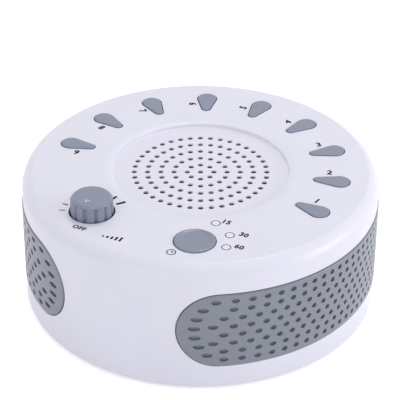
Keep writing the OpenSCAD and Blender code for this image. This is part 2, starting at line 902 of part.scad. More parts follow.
module speaker_yoke() {
    yoke_z = magnet_top_z - top_plate_t - magnet_t - yoke_t;
    color(steel) {
        post(magnet_r - 1.5, yoke_z, yoke_z + yoke_t);
        post(pole_r, yoke_z, magnet_top_z);
    }
}

module speaker_cloth() {
    color([0.05, 0.05, 0.06]) post(flange_r - 1, flange_top_z, dish_under_z);
}

module speaker_screws() {
    color(steel) for (a = speaker_boss_angles) dial(a, speaker_boss_ring_r) {
        post(washer_r, flange_low_z - washer_t, flange_low_z);
        screw(speaker_screw_head_r, small_screw_head_h, pilot_r - thread_gap,
            flange_low_z - washer_t - small_screw_head_h, speaker_screw_l);
    }
}

// ---------------------------------------------------------------- main board and power

module main_board() {
    color(board_green) difference() {
        translate([-main_w / 2, main_y, main_z]) cube([main_w, main_l, board_t]);
        at_each_standoff() post(board_hole_r, main_z - 1, main_z + board_t + 1);
    }
}

module main_board_screws() {
    color(steel) at_each_standoff() {
        post(pilot_r - thread_gap, main_z - main_pilot_h + 1, main_z + board_t + eps);
        post(small_screw_head_r, main_z + board_t, main_z + board_t + small_screw_head_h);
    }
}

module main_board_parts() {
    face = main_z + board_t;
    color([0.13, 0.13, 0.14]) {
        for (chip = [[-12, 9, 6, 5], [11, 6, 5, 4]])
            translate([chip[0], main_y + chip[1], 0]) block(chip[2], chip[3], face, face + 1.6);
        for (can = [[-9, 17], [10, 16]])
            translate([can[0], main_y + can[1], 0]) post(3, face, face + 7);
        translate([0, header_y, 0]) block(header_w, header_l, face, face + header_h);
        for (side = [-1, 1])
            translate([side * plug_x, plug_y, 0]) block(4, 5, face, face + plug_h);
    }
}

module dc_inlet() {
    color(black_plastic) difference() {
        union() {
            translate([0, inlet_back_y - inlet_l / 2, main_z + board_t]) block(inlet_w, inlet_l, 0, inlet_h);
            translate([0, inlet_back_y - eps, inlet_z])
                rotate([-90, 0, 0]) cylinder(r = inlet_nose_r, h = inlet_nose_l);
        }
        translate([0, inlet_back_y - inlet_bore_l, inlet_z])
            rotate([-90, 0, 0]) cylinder(r = inlet_bore_r, h = inlet_bore_l + inlet_nose_l + 1);
        translate([0, inlet_back_y - inlet_bore_l - inlet_pin_root, inlet_z])
            rotate([-90, 0, 0]) cylinder(r = inlet_pin_r, h = inlet_pin_root + 1);
    }
}

module dc_inlet_pin() {
    color(steel) translate([0, inlet_back_y - inlet_bore_l - inlet_pin_root, inlet_z]) {
        rotate([-90, 0, 0]) cylinder(r = inlet_pin_r, h = inlet_pin_l);
        translate([0, inlet_pin_l, 0]) sphere(r = inlet_pin_r, $fn = 32);
    }
}

// positions of the cells' ends across the bay, in turn plus and minus
module at_each_cell() {
    for (i = [0 : cell_count - 1])
        translate([(i - (cell_count - 1) / 2) * cell_pitch, 0, cell_mid_z])
            rotate([0, 0, i % 2 == 0 ? 0 : 180]) children();
}

module battery_contacts() {
    plate_y = bay_l / 2 - contact_gap - contact_t / 2;
    color(steel) at_each_cell() {
        for (end = [-1, 1])
            translate([0, end * plate_y, 0]) cube([contact_w, contact_t, contact_w], center = true);
        translate([0, plate_y, 0]) rotate([90, 0, 0]) cylinder(r = nipple_r, h = contact_t / 2 + nipple_h);
    }
}

module battery_springs() {
    wire_r = 0.35;
    color(steel) at_each_cell() translate([0, -bay_l / 2 + contact_gap + contact_t + wire_r, 0])
        rotate([-90, 0, 0]) coil_spring(4, 4, 2.4, 4.2, wire_r);
}

module ribbon_cable() {
    high = board_top_z - board_t;
    color([0.80, 0.80, 0.82]) translate([0, header_y, 0]) {
        block(header_w - 2, 0.9, main_z + board_t + header_h, high - header_h);
        block(header_w - 1, header_l, high - header_h, high);
    }
}

// the two leads from the speaker's terminals to the main board
module speaker_leads() {
    color([0.75, 0.12, 0.12]) for (side = [-1, 1])
        wire([
            [side * 2, terminal_y, terminal_z],
            [side * 2, lead_y, terminal_z],
            [side * 2, lead_y, lead_z],
            [side * plug_x, plug_y, lead_z],
            [side * plug_x, plug_y, main_z + board_t + plug_h]
        ], lead_r);
}

// the two leads from the battery bay to the main board
module battery_leads() {
    bay_back_y = bay_l / 2 + bay_wall;
    color([0.1, 0.1, 0.1]) for (side = [-1, 1])
        wire([
            [side * 22, bay_back_y, battery_lead_z],
            [side * 22, bay_back_y + 2, battery_lead_z],
            [side * 13, main_y + 2, battery_lead_z],
            [side * 13, main_y + 2, main_z + board_t]
        ], lead_r);
}

// ---------------------------------------------------------------- assembly

upper_housing();
base_plate();
battery_door();
rubber_feet();
housing_screws();
grip_left();
grip_right();
volume_knob();
volume_shaft();
volume_pot();
timer_button();
sound_button(1);  // sound_button_1
sound_button(2);  // sound_button_2
sound_button(3);  // sound_button_3
sound_button(4);  // sound_button_4
sound_button(5);  // sound_button_5
sound_button(6);  // sound_button_6
sound_button(7);  // sound_button_7
sound_button(8);  // sound_button_8
sound_button(9);  // sound_button_9
timer_plunger();
sound_plunger(1);  // plunger_1
sound_plunger(2);  // plunger_2
sound_plunger(3);  // plunger_3
sound_plunger(4);  // plunger_4
sound_plunger(5);  // plunger_5
sound_plunger(6);  // plunger_6
sound_plunger(7);  // plunger_7
sound_plunger(8);  // plunger_8
sound_plunger(9);  // plunger_9
tact_switches();
control_board();
control_board_screws();
light_pipes();
timer_lamps();
speaker_basket();
speaker_surround();
speaker_cone();
speaker_dust_cap();
voice_coil();
speaker_spider();
speaker_top_plate();
speaker_magnet();
speaker_yoke();
speaker_cloth();
speaker_screws();
main_board();
main_board_parts();
main_board_screws();
dc_inlet();
dc_inlet_pin();
battery_springs();
battery_contacts();
ribbon_cable();
speaker_leads();
battery_leads();
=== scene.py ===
"""White noise sound machine: the visible surfaces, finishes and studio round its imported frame.

Lengths are in metres. A dial angle is in degrees from the front (-Y), counter-clockwise seen from above.
"""

import json
import math

import bpy
from bpy.props import FloatProperty, FloatVectorProperty, PointerProperty
from mathutils import Matrix, Vector
from mathutils.geometry import delaunay_2d_cdt


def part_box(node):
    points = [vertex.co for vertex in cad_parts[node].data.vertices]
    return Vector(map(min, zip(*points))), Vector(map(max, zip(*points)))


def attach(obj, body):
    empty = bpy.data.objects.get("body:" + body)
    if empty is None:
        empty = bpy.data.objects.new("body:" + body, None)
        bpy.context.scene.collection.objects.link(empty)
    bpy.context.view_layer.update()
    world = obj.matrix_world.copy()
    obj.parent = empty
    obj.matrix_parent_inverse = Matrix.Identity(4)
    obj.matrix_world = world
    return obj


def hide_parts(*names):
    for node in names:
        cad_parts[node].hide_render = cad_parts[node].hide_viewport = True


bl_info = {
    "name": "White Noise Sound Machine",
    "version": (1, 0, 0),
    "blender": (4, 5, 0),
    "location": "View3D > Sidebar > Sound Machine",
    "description": "Builds the shells, controls, prints and finishes of a tabletop sound machine",
    "category": "Add Mesh",
}

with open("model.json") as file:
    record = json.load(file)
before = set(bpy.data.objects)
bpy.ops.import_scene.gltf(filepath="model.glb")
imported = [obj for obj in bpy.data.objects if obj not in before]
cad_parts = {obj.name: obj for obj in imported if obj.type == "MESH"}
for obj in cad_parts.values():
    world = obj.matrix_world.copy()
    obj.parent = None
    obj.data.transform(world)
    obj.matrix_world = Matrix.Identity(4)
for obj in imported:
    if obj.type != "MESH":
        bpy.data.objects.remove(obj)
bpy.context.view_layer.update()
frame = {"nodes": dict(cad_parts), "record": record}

MM = 0.001
TINY = 1e-6
UP = Vector((0, 0, 1))

# ---------------------------------------------------------------- sizes of the body

housing_low, housing_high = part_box("upper_housing")
BODY_R = round(housing_high.x, 4)
TOP_Z = round(housing_high.z, 4)
WALL_Z = round(housing_low.z, 4)
WALL_T = 2.5 * MM
ROOF_T = 2.2 * MM
EDGE_W = 4 * MM  # the flat top ends this far inside the wall
EDGE_BREAK = 68  # tilt at which the shoulder meets the top's rim
EDGE_BREAK_R = 0.9 * MM
CEILING_Z = TOP_Z - ROOF_T
INNER_R = BODY_R - WALL_T
INNER_CORNER_R = 2 * MM
FOOT_ROUND = 0.4 * MM

DISH_R = 32.2 * MM
DISH_RIM_R = 0.7 * MM
DISH_FILLET_R = 0.7 * MM
DISH_EASE_R = 35.5 * MM  # the top falls off a little from here to the dish's rim
DISH_EASE_DROP = 0.3 * MM
DISH_EASE_TILT = 101  # the surface's tilt where that ends
DISH_DEPTH = 1.8 * MM
DISH_Z = TOP_Z - DISH_DEPTH
DISH_UNDER_R = DISH_R + ROOF_T
DISH_UNDER_Z = DISH_Z - ROOF_T

# points round each opening or turned piece
DISH_STEPS = 160
HOLE_STEPS = 20
SHADE_BULGE_STEPS = 14
CLOTH_STEPS = 96
STEM_STEPS = 24
TIMER_OPENING_STEPS = 64
TIMER_STEPS = 96
KNOB_OPENING_STEPS = 72
LAMP_STEPS = 28
DIMPLE_STEPS = 18

HOLE_R = 1 * MM
CLOTH_GAP = 0.03 * MM
# painted shade: the dust cloth's bulges rise up into the speaker holes, so that their black stands for the
# shade inside them
CLOTH_SHADE_BULGE = ((1, 0.25 * MM, 20), (0.75, 0.08 * MM, 60), (0.4, 0.02 * MM, 80))  # share of r, drop, tilt
HOLE_PITCH = 4.84 * MM
HOLE_RINGS = 5
HOLES_PER_RING = 8
HOLE_TURN = 27.5

BUTTON_COUNT = 9
BUTTON_PITCH = 24.5
BUTTON_FIRST = 180 - BUTTON_PITCH * (BUTTON_COUNT - 1) / 2
BUTTON_RING_R = 47.1 * MM
BUTTON_BIG_R = 3.6 * MM
BUTTON_SMALL_R = 1.55 * MM
BUTTON_SPAN = 7.85 * MM
BUTTON_TOP_Z = TOP_Z + 0.5 * MM
BUTTON_CROWN = 0.06 * MM
BUTTON_FLAT_IN = 1.45 * MM  # the flat middle of a cap starts this far inside its outline
BUTTON_SLOPE_IN = 1.1 * MM
NUMBER_SHIFT = Vector((5.5, 0.5, 0)) * MM  # from a button's middle to its number: sideways and inward
NUMBER_SCALE = 1.2
SLIDE_GAP = 0.3 * MM
SKIRT_GROW = 0.8 * MM
SKIRT_H = 1 * MM
SKIRT_Z = CEILING_Z - 0.1 * MM
STEM_R = 1.8 * MM
STEM_LOW_Z = TOP_Z - 6.5 * MM

CONTROL_ANGLE = 25
CONTROL_RING_R = 48 * MM
TIMER_R = 7.25 * MM
TIMER_ROUND = 0.6 * MM
TIMER_RING_W = 1.2 * MM
TIMER_SINK = 0.3 * MM
TIMER_LOWEST = 1.5  # the middle's depth, in sinks
TIMER_STEM_R = 2.5 * MM
LAMP_PLACES = ((84, 13.3 * MM), (44, 12.6 * MM), (8, 11.4 * MM))  # angle and distance from the timer button
LAMP_R = 1.35 * MM
LAMP_GAP = 0.1 * MM

knob_low, knob_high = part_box("volume_knob")
KNOB_R = round((knob_high.x - knob_low.x) / 2, 4)
KNOB_LOW_Z = round(knob_low.z, 4)
KNOB_TOP_Z = round(knob_high.z, 4)
KNOB_TOP_R = 7.4 * MM
KNOB_BEVEL_W = 0.9 * MM
KNOB_BEVEL_H = 1 * MM
KNOB_BEVEL_BEND = 0.16  # share of the bevel's height over which it bends
KNOB_DOME = 0.05 * MM
KNOB_FOOT = ((0.35 * MM, 0), (0.08 * MM, 0.1 * MM))  # inset and height of its rounded foot
KNOB_FOOT_H = 0.3 * MM
KNOB_SIDE_STEPS = 24
KNOB_HOLE_R = KNOB_R + 0.5 * MM
FLUTES = 12
FLUTE_TURN = 11  # dial angle of the first flute about the knob's axis
FLUTE_SHARE = 0.34  # a flute's half width, in half pitches
FLUTE_SHOULDER = 0.15 * MM  # how far the ribs fall off beside a flute
SHOULDER_SHARE = 0.5  # where that ends, in half pitches
FLUTE_END = (1.7 * MM, 1.15 * MM)  # the flutes run out between these depths below the top
POINTER_ANGLE = 2  # dial angle of the knob's mark at OFF
POINTER_RING_R = 3.4 * MM
POINTER_REACH = 0.9 * MM
POINTER_SPREAD = 24
POINTER_STROKE = 1.9 * MM
POINTER_W = 0.3 * MM

GRIP_END_ANGLE = 20
GRIP_HALF_H = 15 * MM
GRIP_MID_Z = 25.2 * MM
GRIP_PROUD = 0.35 * MM
GRIP_GAP = 0.3 * MM
POCKET_DEPTH = 1.3 * MM
GRIP_OUT_R = BODY_R + GRIP_PROUD
GRIP_IN_R = BODY_R - POCKET_DEPTH + 0.05 * MM
GRIP_DISC_ANGLE = GRIP_END_ANGLE + math.degrees(math.asin(GRIP_HALF_H / BODY_R))
GRIP_MIDDLE_Y = BODY_R * math.cos(math.radians(GRIP_DISC_ANGLE))  # where the grip's round ends start
DIMPLE_R = 0.9 * MM
DIMPLE_DEPTH = 1.1 * MM
DIMPLE_RIM = 0.2 * MM
DIMPLE_FOOT = 0.15 * MM
DIMPLE_PITCH = 3.99 * MM
DIMPLE_ROW_PITCH = 3.49 * MM
DIMPLE_ROWS = 6
DIMPLES_PER_SIDE = 16  # at most, from the middle of a row
BORDER_PITCH = 3.9 * MM
BORDER_HALF_H = 12.25 * MM
BORDER_END_TURN = 4.8
BORDER_MARGIN = 2.2 * MM
BORDER_PHASE = 0.8 * MM
BORDER_BENDS = range(6, 175, 6)  # degrees of the points in its round ends
BORDER_RUN = 10  # steps of its straight halves

INLET_Z = 16.1 * MM
INLET_R = 4.1 * MM


def on_dial(angle, radius, z=0.0):
    """Point at a dial angle and a radius."""
    a = math.radians(angle)
    return Vector((radius * math.sin(a), -radius * math.cos(a), z))


TIMER_CENTRE = on_dial(CONTROL_ANGLE, CONTROL_RING_R)
KNOB_CENTRE = on_dial(-CONTROL_ANGLE, CONTROL_RING_R)
LAMP_CENTRES = [TIMER_CENTRE + on_dial(a + 90, r) for a, r in LAMP_PLACES]
MINUTES_PLACES = ((2.95, 2.25), (4.2, 2.35), (3.85, 2.1))  # mm from each lamp to its number
CAPITAL_SHARE = 0.72  # a capital's height in the font's size
BOLD_SHARE = 0.055  # how much bolder than the font, in capital heights
LETTER_STEPS = 3
OFF_HEIGHT = 2 * MM
OFF_PLACE = Vector((-18.75, -54.87, 0)) * MM
VOLUME_PLACE = Vector((-5.74, -54.96, 0)) * MM
TIMER_PLACE = Vector((16.37, -53.18, 0)) * MM
SCALE_MARKS = 8
SCALE_FIRST = 295
SCALE_PITCH = 21.5
SCALE_IN_R = 9.4 * MM
SCALE_LENGTHS = (2.1 * MM, 3.6 * MM)
SCALE_WIDTHS = (0.5 * MM, 1.1 * MM)
RING_PRINT_W = 0.22 * MM
RING_PRINT_GAP = 0.15 * MM
RING_STEPS = 28
CLOCK_R = 1.35 * MM
CLOCK_LINE = 0.35 * MM
HAND_W = 0.3 * MM
HANDS = (((0, 0.5, 0), 90, 1.1 * MM), ((0.4, 0, 0), 0, 0.9 * MM))  # mm from the middle, direction, length
LETTER_SPACING = 1.08
WEDGE_BARS = 5
WEDGE_STEP = Vector((1.6, 0.25, 0)) * MM
WEDGE_LOW = Vector((-3.2, -0.5, 0)) * MM  # the first bar's place from the wedge's
WEDGE_W = 0.8 * MM
WEDGE_FIRST_H = 0.8 * MM
WEDGE_RISE = 0.45 * MM
BUTTON_ANGLES = [BUTTON_FIRST + BUTTON_PITCH * k for k in range(BUTTON_COUNT)]


# ---------------------------------------------------------------- what a user may change


class SoundMachineShape(bpy.types.PropertyGroup):
    """Small roundings and print sizes."""

    hole_round: FloatProperty(
        name="Speaker Hole Rounding", description="Rounding of the speaker holes' edges",
        default=0.22 * MM, min=0.05 * MM, max=0.4 * MM, unit="LENGTH",
    )
    # painted shade: the dust cloth is pushed up into the speaker holes to this depth, so that its black
    # stands for the shade in the holes
    cloth_sink: FloatProperty(
        name="Cloth Depth", description="How far the dust cloth stays below the dish in the speaker holes",
        default=0.45 * MM, min=0.2 * MM, max=1.5 * MM, unit="LENGTH",
    )
    opening_round: FloatProperty(
        name="Opening Rounding", description="Rounding of the openings round the controls",
        default=0.1 * MM, min=0.05 * MM, max=0.5 * MM, unit="LENGTH",
    )
    button_round: FloatProperty(
        name="Button Rounding", description="Rounding of the buttons' top edges",
        default=0.45 * MM, min=0.2 * MM, max=0.9 * MM, unit="LENGTH",
    )
    grip_round: FloatProperty(
        name="Grip Rounding", description="Rounding of the grips' rims",
        default=0.55 * MM, min=0.2 * MM, max=0.7 * MM, unit="LENGTH",
    )
    flute_depth: FloatProperty(
        name="Flute Depth", description="Depth of the grooves round the knob",
        default=0.8 * MM, min=0.1 * MM, max=0.9 * MM, unit="LENGTH",
    )
    digit_height: FloatProperty(
        name="Digit Height", description="Height of the printed numbers",
        default=2.3 * MM, min=1 * MM, max=3 * MM, unit="LENGTH",
    )
    ink_height: FloatProperty(
        name="Ink Height", description="How far the print stands on the plastic",
        default=0.03 * MM, min=0.01 * MM, max=0.1 * MM, unit="LENGTH",
    )


class SoundMachineColours(bpy.types.PropertyGroup):
    """Colours of the main mouldings and the ink."""

    housing: FloatVectorProperty(
        name="Housing", description="White of the housing and the base",
        subtype="COLOR", size=3, default=(0.745, 0.738, 0.85), min=0, max=1,
    )
    controls: FloatVectorProperty(
        name="Controls", description="Grey of the buttons and the knob",
        subtype="COLOR", size=3, default=(0.23, 0.255, 0.34), min=0, max=1,
    )
    grips: FloatVectorProperty(
        name="Grips", description="Grey of the side grips",
        subtype="COLOR", size=3, default=(0.185, 0.203, 0.258), min=0, max=1,
    )
    ink: FloatVectorProperty(
        name="Ink", description="Colour of the printed marks",
        subtype="COLOR", size=3, default=(0.012, 0.012, 0.02), min=0, max=1,
    )


class SoundMachineStudio(bpy.types.PropertyGroup):
    """Camera and lights."""

    azimuth: FloatProperty(
        name="Azimuth", description="How far the camera stands round from the front",
        default=math.radians(27.24), subtype="ANGLE",
    )
    elevation: FloatProperty(
        name="Elevation", description="How far the camera looks down",
        default=math.radians(35.2), subtype="ANGLE",
    )
    roll: FloatProperty(
        name="Roll", description="Turn of the camera about its line of sight",
        default=math.radians(0.25), subtype="ANGLE",
    )
    distance: FloatProperty(
        name="Distance", description="From the middle of the base to the camera",
        default=678.9 * MM, unit="LENGTH",
    )
    lens: FloatProperty(name="Lens", description="Focal length in millimetres", default=160.95)
    key: FloatProperty(
        name="Key Light", description="Power of the overhead softbox", default=2.6, unit="POWER",
    )
    fill: FloatProperty(
        name="Fill Light", description="Power of the low front softbox", default=2.8, unit="POWER",
    )
    side: FloatProperty(
        name="Side Light", description="Power of the softbox on the right", default=5.2, unit="POWER",
    )
    edges: FloatProperty(
        name="Edge Light", description="Power of the small softbox above the front", default=0.35,
        unit="POWER",
    )
    ambient: FloatProperty(name="Ambient", description="Strength of the light from all round", default=0.66)


# ---------------------------------------------------------------- making meshes


def add_piece(name, mesh, material):
    """Puts a mesh into the scene as a piece with one finish."""
    mesh.materials.clear()
    mesh.materials.append(material)
    piece = bpy.data.objects.new(name, mesh)
    bpy.context.scene.collection.objects.link(piece)
    return piece


class Skin:
    """Points, faces and surface normals of one piece while it is made."""

    def __init__(self):
        self.points, self.normals, self.faces = [], [], []

    def row(self, points, normals):
        """Adds points and gives their numbers."""
        first = len(self.points)
        self.points += [Vector(p) for p in points]
        self.normals += [Vector(n).normalized() for n in normals]
        return list(range(first, len(self.points)))

    def again(self, row, normals):
        """The points of a row once more with other normals, for a sharp edge."""
        return self.row([self.points[i] for i in row], normals)

    def strip(self, a, b):
        """Quads between two closed rows of the same length."""
        for i in range(len(a)):
            j = (i + 1) % len(a)
            self.faces.append((a[i], a[j], b[j], b[i]))

    def fan(self, row, centre, normal):
        """Triangles from a closed row to a centre point."""
        middle = self.row([centre], [normal])[0]
        self.faces += [(row[i], row[(i + 1) % len(row)], middle) for i in range(len(row))]

    def fill(self, loops, paper):
        """Triangles inside the first loop and outside the others. paper gives a point's place when laid flat.

        The first loop bulges everywhere, so a triangle with all corners on one other loop lies in a hole."""
        numbers = [i for loop in loops for i in loop]
        owner = [k for k, loop in enumerate(loops) for _ in loop]
        edges, start = [], 0
        for loop in loops:
            edges += [(start + k, start + (k + 1) % len(loop)) for k in range(len(loop))]
            start += len(loop)
        flat = [Vector(paper(self.points[i])) / MM for i in numbers]
        made = delaunay_2d_cdt(flat, edges, [], 0, TINY)
        faces, origin = made[2], made[3]
        for face in faces:
            corners = [origin[i][0] for i in face]
            owners = {owner[c] for c in corners}
            if len(owners) > 1 or 0 in owners:
                self.faces.append(tuple(numbers[c] for c in corners))

    def piece(self, name, material):
        """Makes the object, with every face turned to the side that its normals point to."""
        mesh = bpy.data.meshes.new(name)
        faces = []
        for face in self.faces:
            corners = [self.points[i] for i in face]
            across = sum((corners[k - 1].cross(corners[k]) for k in range(len(corners))), Vector())
            meant = sum((self.normals[i] for i in face), Vector())
            faces.append(face if across.dot(meant) >= 0 else face[::-1])
        mesh.from_pydata([tuple(p) for p in self.points], [], faces)
        mesh.polygons.foreach_set("use_smooth", [True] * len(faces))
        mesh.normals_split_custom_set_from_vertices([tuple(n) for n in self.normals])
        return add_piece(name, mesh, material)


def round_angles(count):
    """Dial angles evenly round a circle."""
    return [360 * k / count for k in range(count)]


def turned(skin, profile, angles, centre=Vector(), row=None):
    """Rows of a turned surface along a profile of (radius, height, tilt).

    tilt is the surface normal's angle above the outward direction, in degrees. A point that repeats the one
    before it with another tilt is a sharp corner. Gives the first and the last row."""
    first, before = row, None
    for radius, height, tilt in profile:
        t = math.radians(tilt)
        points = [centre + on_dial(a, radius, height) for a in angles]
        made = skin.row(points, [on_dial(a, math.cos(t), math.sin(t)) for a in angles])
        corner = before is not None and abs(before[0] - radius) + abs(before[1] - height) < TINY * MM
        if row is not None and not corner:
            skin.strip(row, made)
        first = first or made
        row, before = made, (radius, height)
    return first, row


def arc(radius, height, r, start, end, steps=4):
    """Profile points on a circle of radius r about (radius, height), for tilts from start to end."""
    points = []
    for k in range(steps + 1):
        tilt = start + (end - start) * k / steps
        t = math.radians(tilt)
        points.append((radius + r * math.cos(t), height + r * math.sin(t), tilt))
    return points


def hollow_arc(radius, height, r, start, end, steps=4):
    """The same for a hollow fillet, whose normals point to the circle's middle."""
    outside = arc(radius, height, r, start, end, steps)
    return [(2 * radius - x, 2 * height - z, tilt) for x, z, tilt in outside]


def lip(skin, row, place, steps, side):
    """Rows along an outline that shrinks or grows, from row on.

    place(grow, depth) gives the outline's points. steps are (grow, depth, tilt). side is 1 round a solid
    and -1 round a hole."""
    for grow, depth, tilt in steps:
        points = place(grow, depth)
        outward = [(b - a).normalized() for a, b in zip(points, place(grow + TINY, depth))]
        upward = [(a - b).normalized() for a, b in zip(points, place(grow, depth + TINY))]
        c, s = math.cos(math.radians(tilt)), side * math.sin(math.radians(tilt))
        made = skin.row(points, [u * c + o * s for o, u in zip(outward, upward)])
        if row is not None:
            skin.strip(row, made)
        row = made
    return row


def rounding(r, side, grow=0.0, depth=0.0, steps=4):
    """Steps of a rounded rim for lip, from the flat face to the side wall."""
    made = []
    for k in range(steps + 1):
        t = math.radians(90 * k / steps)
        made.append((grow - side * r * (1 - math.sin(t)), depth + r * (1 - math.cos(t)), 90 * k / steps))
    return made


def flat_xy(p):
    """A point seen from above."""
    return p.x, p.y


def unrolled(p):
    """A point of a grip's face, when the face is rolled out flat."""
    return GRIP_OUT_R * math.atan2(p.y, p.x), p.z


def level(p):
    """The level direction from the body's axis to a point."""
    return Vector((p.x, p.y, 0))


# ---------------------------------------------------------------- outlines


def teardrop(grow):
    """Outline of a sound button, wide end toward -Y, with the same number of points at any grow."""
    shoulder = math.degrees(math.asin((BUTTON_BIG_R - BUTTON_SMALL_R) / BUTTON_SPAN))
    points = []
    for radius, y, start, end, steps in (
        (BUTTON_BIG_R + grow, -BUTTON_SPAN / 2, 180 - shoulder, 360 + shoulder, 28),
        (BUTTON_SMALL_R + grow, BUTTON_SPAN / 2, shoulder, 180 - shoulder, 16),
    ):
        for k in range(steps + 1):
            a = math.radians(start + (end - start) * k / steps)
            points.append(Vector((radius * math.cos(a), y + radius * math.sin(a), 0)))
    return points


def button_place(angle, top):
    """Outline of the sound button at a dial angle, for lip."""
    turn = Matrix.Rotation(math.radians(angle), 3, "Z")
    centre = on_dial(angle, BUTTON_RING_R, top)
    return lambda grow, depth: [centre + turn @ p - UP * depth for p in teardrop(grow)]


class WallSlot:
    """An opening in the round wall with straight top and bottom and round ends."""

    def __init__(self, start, end, mid, half, end_steps, long_steps, steps_after):
        self.start, self.end, self.mid, self.half = start, end, mid, half
        self.end_steps, self.long_steps, self.steps_after = end_steps, long_steps, steps_after

    def upper(self, grow, radius):
        """Dial angle and height above the middle, from the left tip over the top to the right tip."""
        half = self.half + grow
        points = []
        for k in range(self.end_steps):
            t = math.radians(90 * k / self.end_steps)
            turn = math.degrees(math.asin(half * math.cos(t) / radius))
            points.append((self.start - turn, half * math.sin(t)))
        for k in range(self.long_steps + 1):
            share = k / self.long_steps if self.long_steps else 0
            points.append((self.start + (self.end - self.start) * share, half))
        points += [(self.start + self.end - a, z) for a, z in points[: self.end_steps][::-1]]
        return points

    def place(self, radius):
        """The whole outline on a cylinder, for lip. depth goes inward."""

        def points(grow, depth):
            upper = self.upper(grow, radius)
            line = upper + [(a, -z) for a, z in upper[-2:0:-1]]
            return [on_dial(a, radius - depth, self.mid + z) for a, z in line]

        return points


GRIP_SLOT = WallSlot(GRIP_DISC_ANGLE, 180 - GRIP_DISC_ANGLE, GRIP_MID_Z, GRIP_HALF_H,
                     end_steps=14, long_steps=72, steps_after=14)
INLET_SLOT = WallSlot(180, 180, INLET_Z, INLET_R, end_steps=12, long_steps=0, steps_after=14)
LEFT_SLOT = WallSlot(360 - GRIP_SLOT.end, 360 - GRIP_SLOT.start, GRIP_MID_Z, GRIP_HALF_H,
                     end_steps=14, long_steps=72, steps_after=26)
WALL_SLOTS = (GRIP_SLOT, INLET_SLOT, LEFT_SLOT)


def wall_columns(grow, radius, cut):
    """The wall's columns: dial angle, slot cut there or None, and half the opening's height.

    grow has a value for each slot."""
    uppers = [slot.upper(g, radius) for slot, g in zip(WALL_SLOTS, grow)]
    columns = []
    for k, slot in enumerate(WALL_SLOTS):
        columns += [(a, slot if slot in cut else None, z) for a, z in uppers[k]]
        start = uppers[k][-1][0]
        end = uppers[(k + 1) % len(uppers)][0][0] + (360 if k == len(uppers) - 1 else 0)
        columns += [
            (start + (end - start) * i / slot.steps_after, None, 0) for i in range(1, slot.steps_after)
        ]
    return columns


def wall(skin, radius, columns, low_z, high_z, facing):
    """Upright wall with its slots. Gives the bottom row, the top row and each slot's outline."""
    bottom, top, gaps = [], [], []
    for angle, slot, half in columns:
        normal = on_dial(angle, facing)
        column = skin.row([on_dial(angle, radius, low_z), on_dial(angle, radius, high_z)], [normal] * 2)
        bottom.append(column[0])
        top.append(column[1])
        if slot is None:
            gaps.append(None)
            continue
        heights = [slot.mid - half, slot.mid + half] if half > TINY else [slot.mid]
        points = skin.row([on_dial(angle, radius, z) for z in heights], [normal] * len(heights))
        gaps.append((slot, points[0], points[-1]))
    for i, a in enumerate(gaps):
        j = (i + 1) % len(gaps)
        b = gaps[j]
        if a and b:
            skin.faces.append((bottom[i], bottom[j], b[1], a[1]))
            skin.faces.append((a[2], b[2], top[j], top[i]))
        elif b:
            skin.faces.append((bottom[i], bottom[j], b[1], top[j], top[i]))
        elif a:
            skin.faces.append((bottom[i], bottom[j], top[j], top[i], a[1]))
        else:
            skin.faces.append((bottom[i], bottom[j], top[j], top[i]))
    outlines = {}
    for slot in WALL_SLOTS:
        mine = [g for g in gaps if g and g[0] is slot]
        outlines[slot] = [g[2] for g in mine] + [g[1] for g in mine[-2:0:-1]]
    return bottom, top, outlines


# ---------------------------------------------------------------- housing


def speaker_hole_centres():
    """Middle of every speaker hole, at the dish's floor."""
    centres = [Vector((0, 0, 0))]
    for ring in range(1, HOLE_RINGS + 1):
        count = HOLES_PER_RING * ring
        centres += [on_dial(HOLE_TURN + 360 * i / count, ring * HOLE_PITCH) for i in range(count)]
    return centres


def pierced_plate(skin, outer, holes):
    """Fills between the outer row and the holes' first rows, above and below."""
    skin.fill([outer[0]] + [h[0] for h in holes], flat_xy)
    skin.fill([outer[1]] + [h[1] for h in holes], flat_xy)


def round_hole(skin, centre, r, rim, top, low, count):
    """A round hole through a plate with a rounded upper rim. Gives its rows in the upper and lower face."""
    profile = arc(r + rim, top - rim, rim, 90, 180) + [(r, low, 180), (r, low, -90)]
    return turned(skin, profile, round_angles(count), centre)


def teardrop_hole(skin, angle, rim):
    """The opening for a sound button. Gives its rows in the upper and lower face."""
    place = button_place(angle, TOP_Z)
    first = lip(skin, None, place, [(SLIDE_GAP + rim, 0, 0)], -1)
    last = lip(skin, first, place, rounding(rim, -1, SLIDE_GAP)[1:] + [(SLIDE_GAP, ROOF_T, 90)], -1)
    return first, skin.again(last, [-UP] * len(last))


def edge_profile():
    """The housing's outer edge, from the wall over a full shoulder to the small rim of the flat top."""
    c, s = math.cos(math.radians(EDGE_BREAK)), math.sin(math.radians(EDGE_BREAK))
    shoulder_r = (EDGE_W - EDGE_BREAK_R * c) / (1 - c)
    rim_z = TOP_Z - EDGE_BREAK_R
    shoulder_z = rim_z + (EDGE_BREAK_R - shoulder_r) * s
    shoulder = arc(BODY_R - shoulder_r, shoulder_z, shoulder_r, 0, EDGE_BREAK, 12)
    return shoulder + arc(BODY_R - EDGE_W, rim_z, EDGE_BREAK_R, EDGE_BREAK, 90, 3)[1:]


